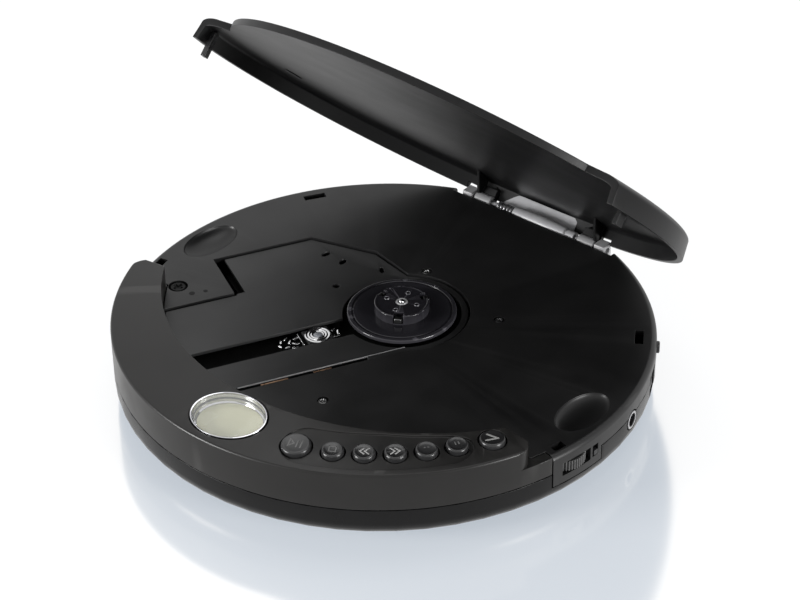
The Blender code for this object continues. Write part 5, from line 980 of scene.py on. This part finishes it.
def make_lid():
    """The lid, shaped as it lies closed and then turned open, with its hinge barrels and switch tab."""
    shell = revolve("lid_cover", lid_profile(False) + lid_profile(True)[::-1])
    cut(shell, slab("lid_front", crescent_outline(LID_CUT_GAP), 0.0, LID_TOP_Z * 2))
    arms = []
    barrels = []
    sweeps = []
    root = LID_SHOULDER_Z - LID_PLATE / 2
    web_y = HINGE_Y - BARREL_RADIUS + BITE
    gusset = [(web_y, HINGE_Z + BARREL_RADIUS / 2), (HINGE_Y + BARREL_RADIUS, HINGE_Z + BITE),
              (HINGE_Y + BARREL_RADIUS, root), (web_y - GUSSET_REACH, root)]
    for side in (-1, 1):
        inner, outer = sorted(side * value for value in BARREL_X)
        arms.append(block(f"arm_{side}", (inner, HINGE_Y - BITE, HINGE_Z + BITE),
                          (outer, sqrt(BODY_RADIUS ** 2 - BARREL_X[1] ** 2) - BITE, ARM_TOP_Z)))
        barrels.append(rod(f"hinge_barrel_{side}", BARREL_RADIUS, inner, outer, (HINGE_Y, HINGE_Z), axis="X",
                           rounding=RUN))
        web = sorted((side * (BARREL_X[1] - GUSSET_THICK), side * BARREL_X[1]))
        arms.append(slab(f"gusset_{side}", gusset, *web, SIDEWAYS))
        low, high = sorted((side * (LUG_X[0] - GAP), side * (LUG_X[1] + GAP)))
        sweeps.append(block(f"lug_sweep_{side}", (low, HINGE_Y - LUG_SWEEP, 0.0),
                            (high, BODY_RADIUS, HINGE_Z + LUG_SWEEP)))
    join(shell, *arms, post("latch_hook", LATCH_RING, LATCH_HALF, LATCH_TIP_Z, TAB_ROOT_Z,
                            rotate(LATCH_AZIMUTH)))
    reach = BARREL_X[1] + OVER
    tab_spot = rotate(SWITCH_TAB_AZIMUTH)
    cut(shell, *sweeps,
        rod("barrel_bores", PIN_RADIUS + RUN, -reach, reach, (HINGE_Y, HINGE_Z), axis="X"),
        post("tab_gap", LATCH_RING, [value + GAP for value in LATCH_HALF], 0.0, TAB_ROOT_Z - WALL, tab_spot))
    round_edges(shell, 0.2 * MM)
    for barrel in barrels:
        cut(barrel, rod(barrel.name + "_bore", PIN_RADIUS + RUN, -reach, reach, (HINGE_Y, HINGE_Z),
                        axis="X"))
        barrel.data.transform(OPEN)
        dress(barrel, GREY, "lid", "lid_gloss")
    shell.data.transform(OPEN)
    stand_for(shell, LID_SKIN, "lid_shell")
    tab = post("lid_tab", LATCH_RING, LATCH_HALF, LATCH_TIP_Z, TAB_ROOT_Z - WALL - GAP, OPEN @ tab_spot,
               0.2 * MM)
    stand_for(tab, SMOKY, "lid_switch_tab")
    # A light grey plate on the lid's rear wall: painted light, standing for the lit inner face of that wall
    plate = block("lid_wall_highlight_plate", mm(-14.9, 69.0, 15.2), mm(11.0, 69.6, 20.4), OPEN, 0.15 * MM)
    dress(plate, HINGE_METAL, "lid", "bright_metal")
    # A near-black block on the lid's inner face: painted shade of a slot, not a cut
    slot = block("lid_slot_shade", mm(60.0, -3.2, 21.5), mm(61.6, 3.2, 22.4),
                 OPEN @ rotate(LID_SLOT_AZIMUTH), 0.2 * MM)
    dress(slot, SHADE_BLACK, "lid", "lid_gloss")


def make_hinge():
    """The shaft with its bulged cover between the barrels, and the coil spring beside it."""
    lying = shift(0.0, HINGE_Y, HINGE_Z) @ rotate(TURN / 4, "Y")
    left, right = HINGE_BAR_X
    middle, half = (left + right) / 2, (right - left) / 2
    shares = [1.0 - i / 4 for i in range(9)]
    bulge = [(HINGE_BAR_RADIUS + HINGE_BAR_BULGE * (1 - s * s), middle + half * s) for s in shares]
    end = SHAFT_END
    shaft = revolve("hinge_bar", [
        (0.0, end), (0.6 * MM, end), (PIN_RADIUS, end - 0.2 * MM), (PIN_RADIUS, 13.9 * MM),
        *mm_points(((1.45, 13.9), (1.6, 13.75), (1.6, 11.15), (1.45, 11.0))), *bulge, (PIN_RADIUS, left),
        (PIN_RADIUS, -end + 0.2 * MM), (0.6 * MM, -end), (0.0, -end)], MEDIUM, lying)
    # The shaft's light grey is partly its own colour and partly painted light, for the brightly lit bar
    # below the open lid
    stand_for(shaft, HINGE_METAL, "hinge_shaft")
    points = 24
    path = []
    for i in range(SPRING_TURNS * points + 1):
        angle = TURN * i / points
        path.append((SPRING_START + SPRING_WIRE + SPRING_PITCH * i / points,
                     HINGE_Y + SPRING_RADIUS * sin(angle), HINGE_Z - SPRING_RADIUS * cos(angle)))
    path.insert(0, (path[0][0], path[0][1] - SPRING_TAIL, path[0][2]))
    curve = bpy.data.curves.new("hinge_spring", "CURVE")
    curve.dimensions = "3D"
    curve.bevel_depth = SPRING_WIRE
    curve.bevel_resolution = 4
    curve.use_fill_caps = True
    spline = curve.splines.new("POLY")
    spline.points.add(len(path) - 1)
    for point, place in zip(spline.points, path):
        point.co = (*place, 1.0)
    spring = add_object("hinge_spring", curve)
    curve.materials.append(STEEL)
    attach(spring, "body")
    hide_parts("lid_spring")


def make_side_controls():
    """The ribbed volume wheel and the headphone socket with its ring."""
    x, y = polar(BODY_RADIUS + WHEEL_PROUD - WHEEL_RADIUS, WHEEL_AZIMUTH)
    axle = shift(x, y, 0.0) @ rotate(WHEEL_AZIMUTH)
    rib = ((0.0, RIB_DEPTH), (0.18, RIB_DEPTH), (0.32, 0.0), (0.72, 0.0), (0.86, RIB_DEPTH))
    rim = [polar(WHEEL_RADIUS - inset, TURN * (i + share) / WHEEL_RIBS)
           for i in range(WHEEL_RIBS) for share, inset in rib]
    wheel = slab("volume_thumbwheel", rim, SEAM_Z - WHEEL_THICK / 2, SEAM_Z + WHEEL_THICK / 2, axle)
    cut(wheel, rod("wheel_bore", WHEEL_BORE, 0.0, DECK_Z, place=axle))
    round_edges(wheel, 0.06 * MM, 1)
    stand_for(wheel, WHEEL, "volume_wheel")

    place = outward(JACK_AZIMUTH, JACK_Z)
    length, width, height = JACK_SIZE
    jack = block("headphone_socket", (JACK_FACE - length, -width / 2, -height / 2),
                 (JACK_FACE, width / 2, height / 2), place)
    join(jack, rod("jack_nose", JACK_RADIUS, JACK_FACE - BITE, BODY_RADIUS, axis="X", place=place,
                   sides=MEDIUM))
    cut(jack, rod("jack_bore", JACK_BORE, BODY_RADIUS - JACK_BORE_DEPTH, BODY_RADIUS + OVER, axis="X",
                  place=place, sides=MEDIUM))
    round_edges(jack, 0.15 * MM)
    stand_for(jack, SOCKET, "headphone_jack")
    ring = revolve("headphone_ring", mm_points((
        (1.85, -0.1), (1.95, 0.06), (2.25, 0.06), (2.4, -0.02), (2.4, -0.12)), BODY_RADIUS), MEDIUM,
                   place @ rotate(TURN / 4, "Y"))
    dress(ring, HINGE_METAL, "body", "socket_plastic")


def copy_of(node):
    """A node's own form as one welded mesh, with its triangles joined into flat faces."""
    shape = bmesh.new()
    shape.from_mesh(NODES[node].data)
    bmesh.ops.remove_doubles(shape, verts=shape.verts, dist=WELD)
    bmesh.ops.dissolve_limit(shape, angle_limit=radians(0.8), verts=shape.verts, edges=shape.edges)
    return as_object(node + "_form", shape)


def dress_the_rest():
    """Every node that no new piece stands for gets its own welded, rounded form."""
    for node, cad in NODES.items():
        if cad.hide_render:
            continue
        obj = copy_of(node)
        round_edges(obj, 0.08 * MM, 1)
        stand_for(obj, NODE_FINISHES.get(node, FINISHES[SLOT_OF[node]]), node)


def make_studio():
    """A floor and a world that are white to the camera and in reflections, but dim as light."""
    half = 3.0
    floor = block("floor", (-half, -half, -0.002), (half, half, 0.0))
    material = bpy.data.materials.new("floor_white")
    material.use_nodes = True
    tree = material.node_tree
    tree.nodes.clear()
    rays = add_node(tree, "LightPath").outputs
    plain = add_node(tree, "BsdfDiffuse", {"Color": (0.8, 0.8, 0.8, 1.0)})
    glow = add_node(tree, "Emission", {"Color": (0.41, 0.455, 0.51, 1.0)})
    mirror = add_node(tree, "BsdfGlossy", {"Color": (0.40, 0.36, 0.31, 1.0), "Roughness": 0.12})
    lit = add_node(tree, "BsdfDiffuse", {"Color": (0.25, 0.25, 0.25, 1.0)})
    shown = add_node(tree, "AddShader", {0: add_node(tree, "AddShader", {0: glow, 1: mirror}), 1: lit})
    white = add_node(tree, "Emission", {"Color": (1.0, 1.0, 1.0, 1.0)})
    seen = add_node(tree, "Math", {0: rays["Is Glossy Ray"], 1: rays["Is Transmission Ray"]},
                    operation="MAXIMUM")
    reflected = add_node(tree, "MixShader", {0: seen, 1: plain, 2: white})
    pick = add_node(tree, "MixShader", {0: rays["Is Camera Ray"], 1: reflected, 2: shown})
    add_node(tree, "OutputMaterial", {"Surface": pick})
    floor.data.materials.append(material)

    world = bpy.data.worlds.new("studio")
    bpy.context.scene.world = world
    world.use_nodes = True
    tree = world.node_tree
    tree.nodes.clear()
    rays = add_node(tree, "LightPath").outputs
    dim = add_node(tree, "Background", {"Color": (1.0, 1.0, 1.0, 1.0), "Strength": 0.3})
    bright = add_node(tree, "Background", {"Color": (1.0, 1.0, 1.0, 1.0)})
    direct = add_node(tree, "Math", {0: rays["Is Camera Ray"], 1: rays["Is Transmission Ray"]},
                      operation="MAXIMUM")
    seen = add_node(tree, "Math", {0: direct, 1: rays["Is Glossy Ray"]}, operation="MAXIMUM")
    pick = add_node(tree, "MixShader", {0: seen, 1: dim, 2: bright})
    add_node(tree, "OutputWorld", {"Surface": pick})


def softbox(name, azimuth, elevation, size, power):
    """An area lamp aimed at the player from an azimuth and elevation in degrees."""
    light = bpy.data.lights.new(name, "AREA")
    light.shape = "RECTANGLE"
    light.size, light.size_y = size
    light.energy = power
    lamp = add_object(name, light)
    around, up = radians(azimuth), radians(elevation)
    aim = Vector((cos(up) * cos(around), cos(up) * sin(around), sin(up)))
    lamp.location = aim * LAMP_DISTANCE
    lamp.rotation_euler = aim.to_track_quat("Z", "Y").to_euler()


def make_camera():
    data = bpy.data.cameras.new("photo_view")
    data.sensor_width = 36.0
    data.lens = 112.5
    camera = add_object("photo_view", data)
    right = (0.771548, 0.636014, -0.014123)
    up = (-0.349016, 0.441743, 0.826469)
    back = (0.531886, -0.632732, 0.562805)
    place = (0.3533, -0.4137, 0.3941)
    camera.matrix_world = Matrix([*zip(right, up, back, place), (0, 0, 0, 1)])
    bpy.context.scene.camera = camera


make_camera()
make_studio()
softbox("left_box", -122, 13, (0.35, 0.35), 11.0)
softbox("right_box", 2, 12, (0.3, 0.3), 8.0)
softbox("top_box", 110, 70, (0.7, 0.5), 2.5)
make_upper_case()
make_deck_details()
make_panel()
make_keys()
make_display()
make_turntable()
make_cover()
make_pickup()
make_lid()
make_hinge()
make_side_controls()
dress_the_rest()

bpy.context.scene.view_settings.view_transform = "Standard"
bpy.context.view_layer.update()
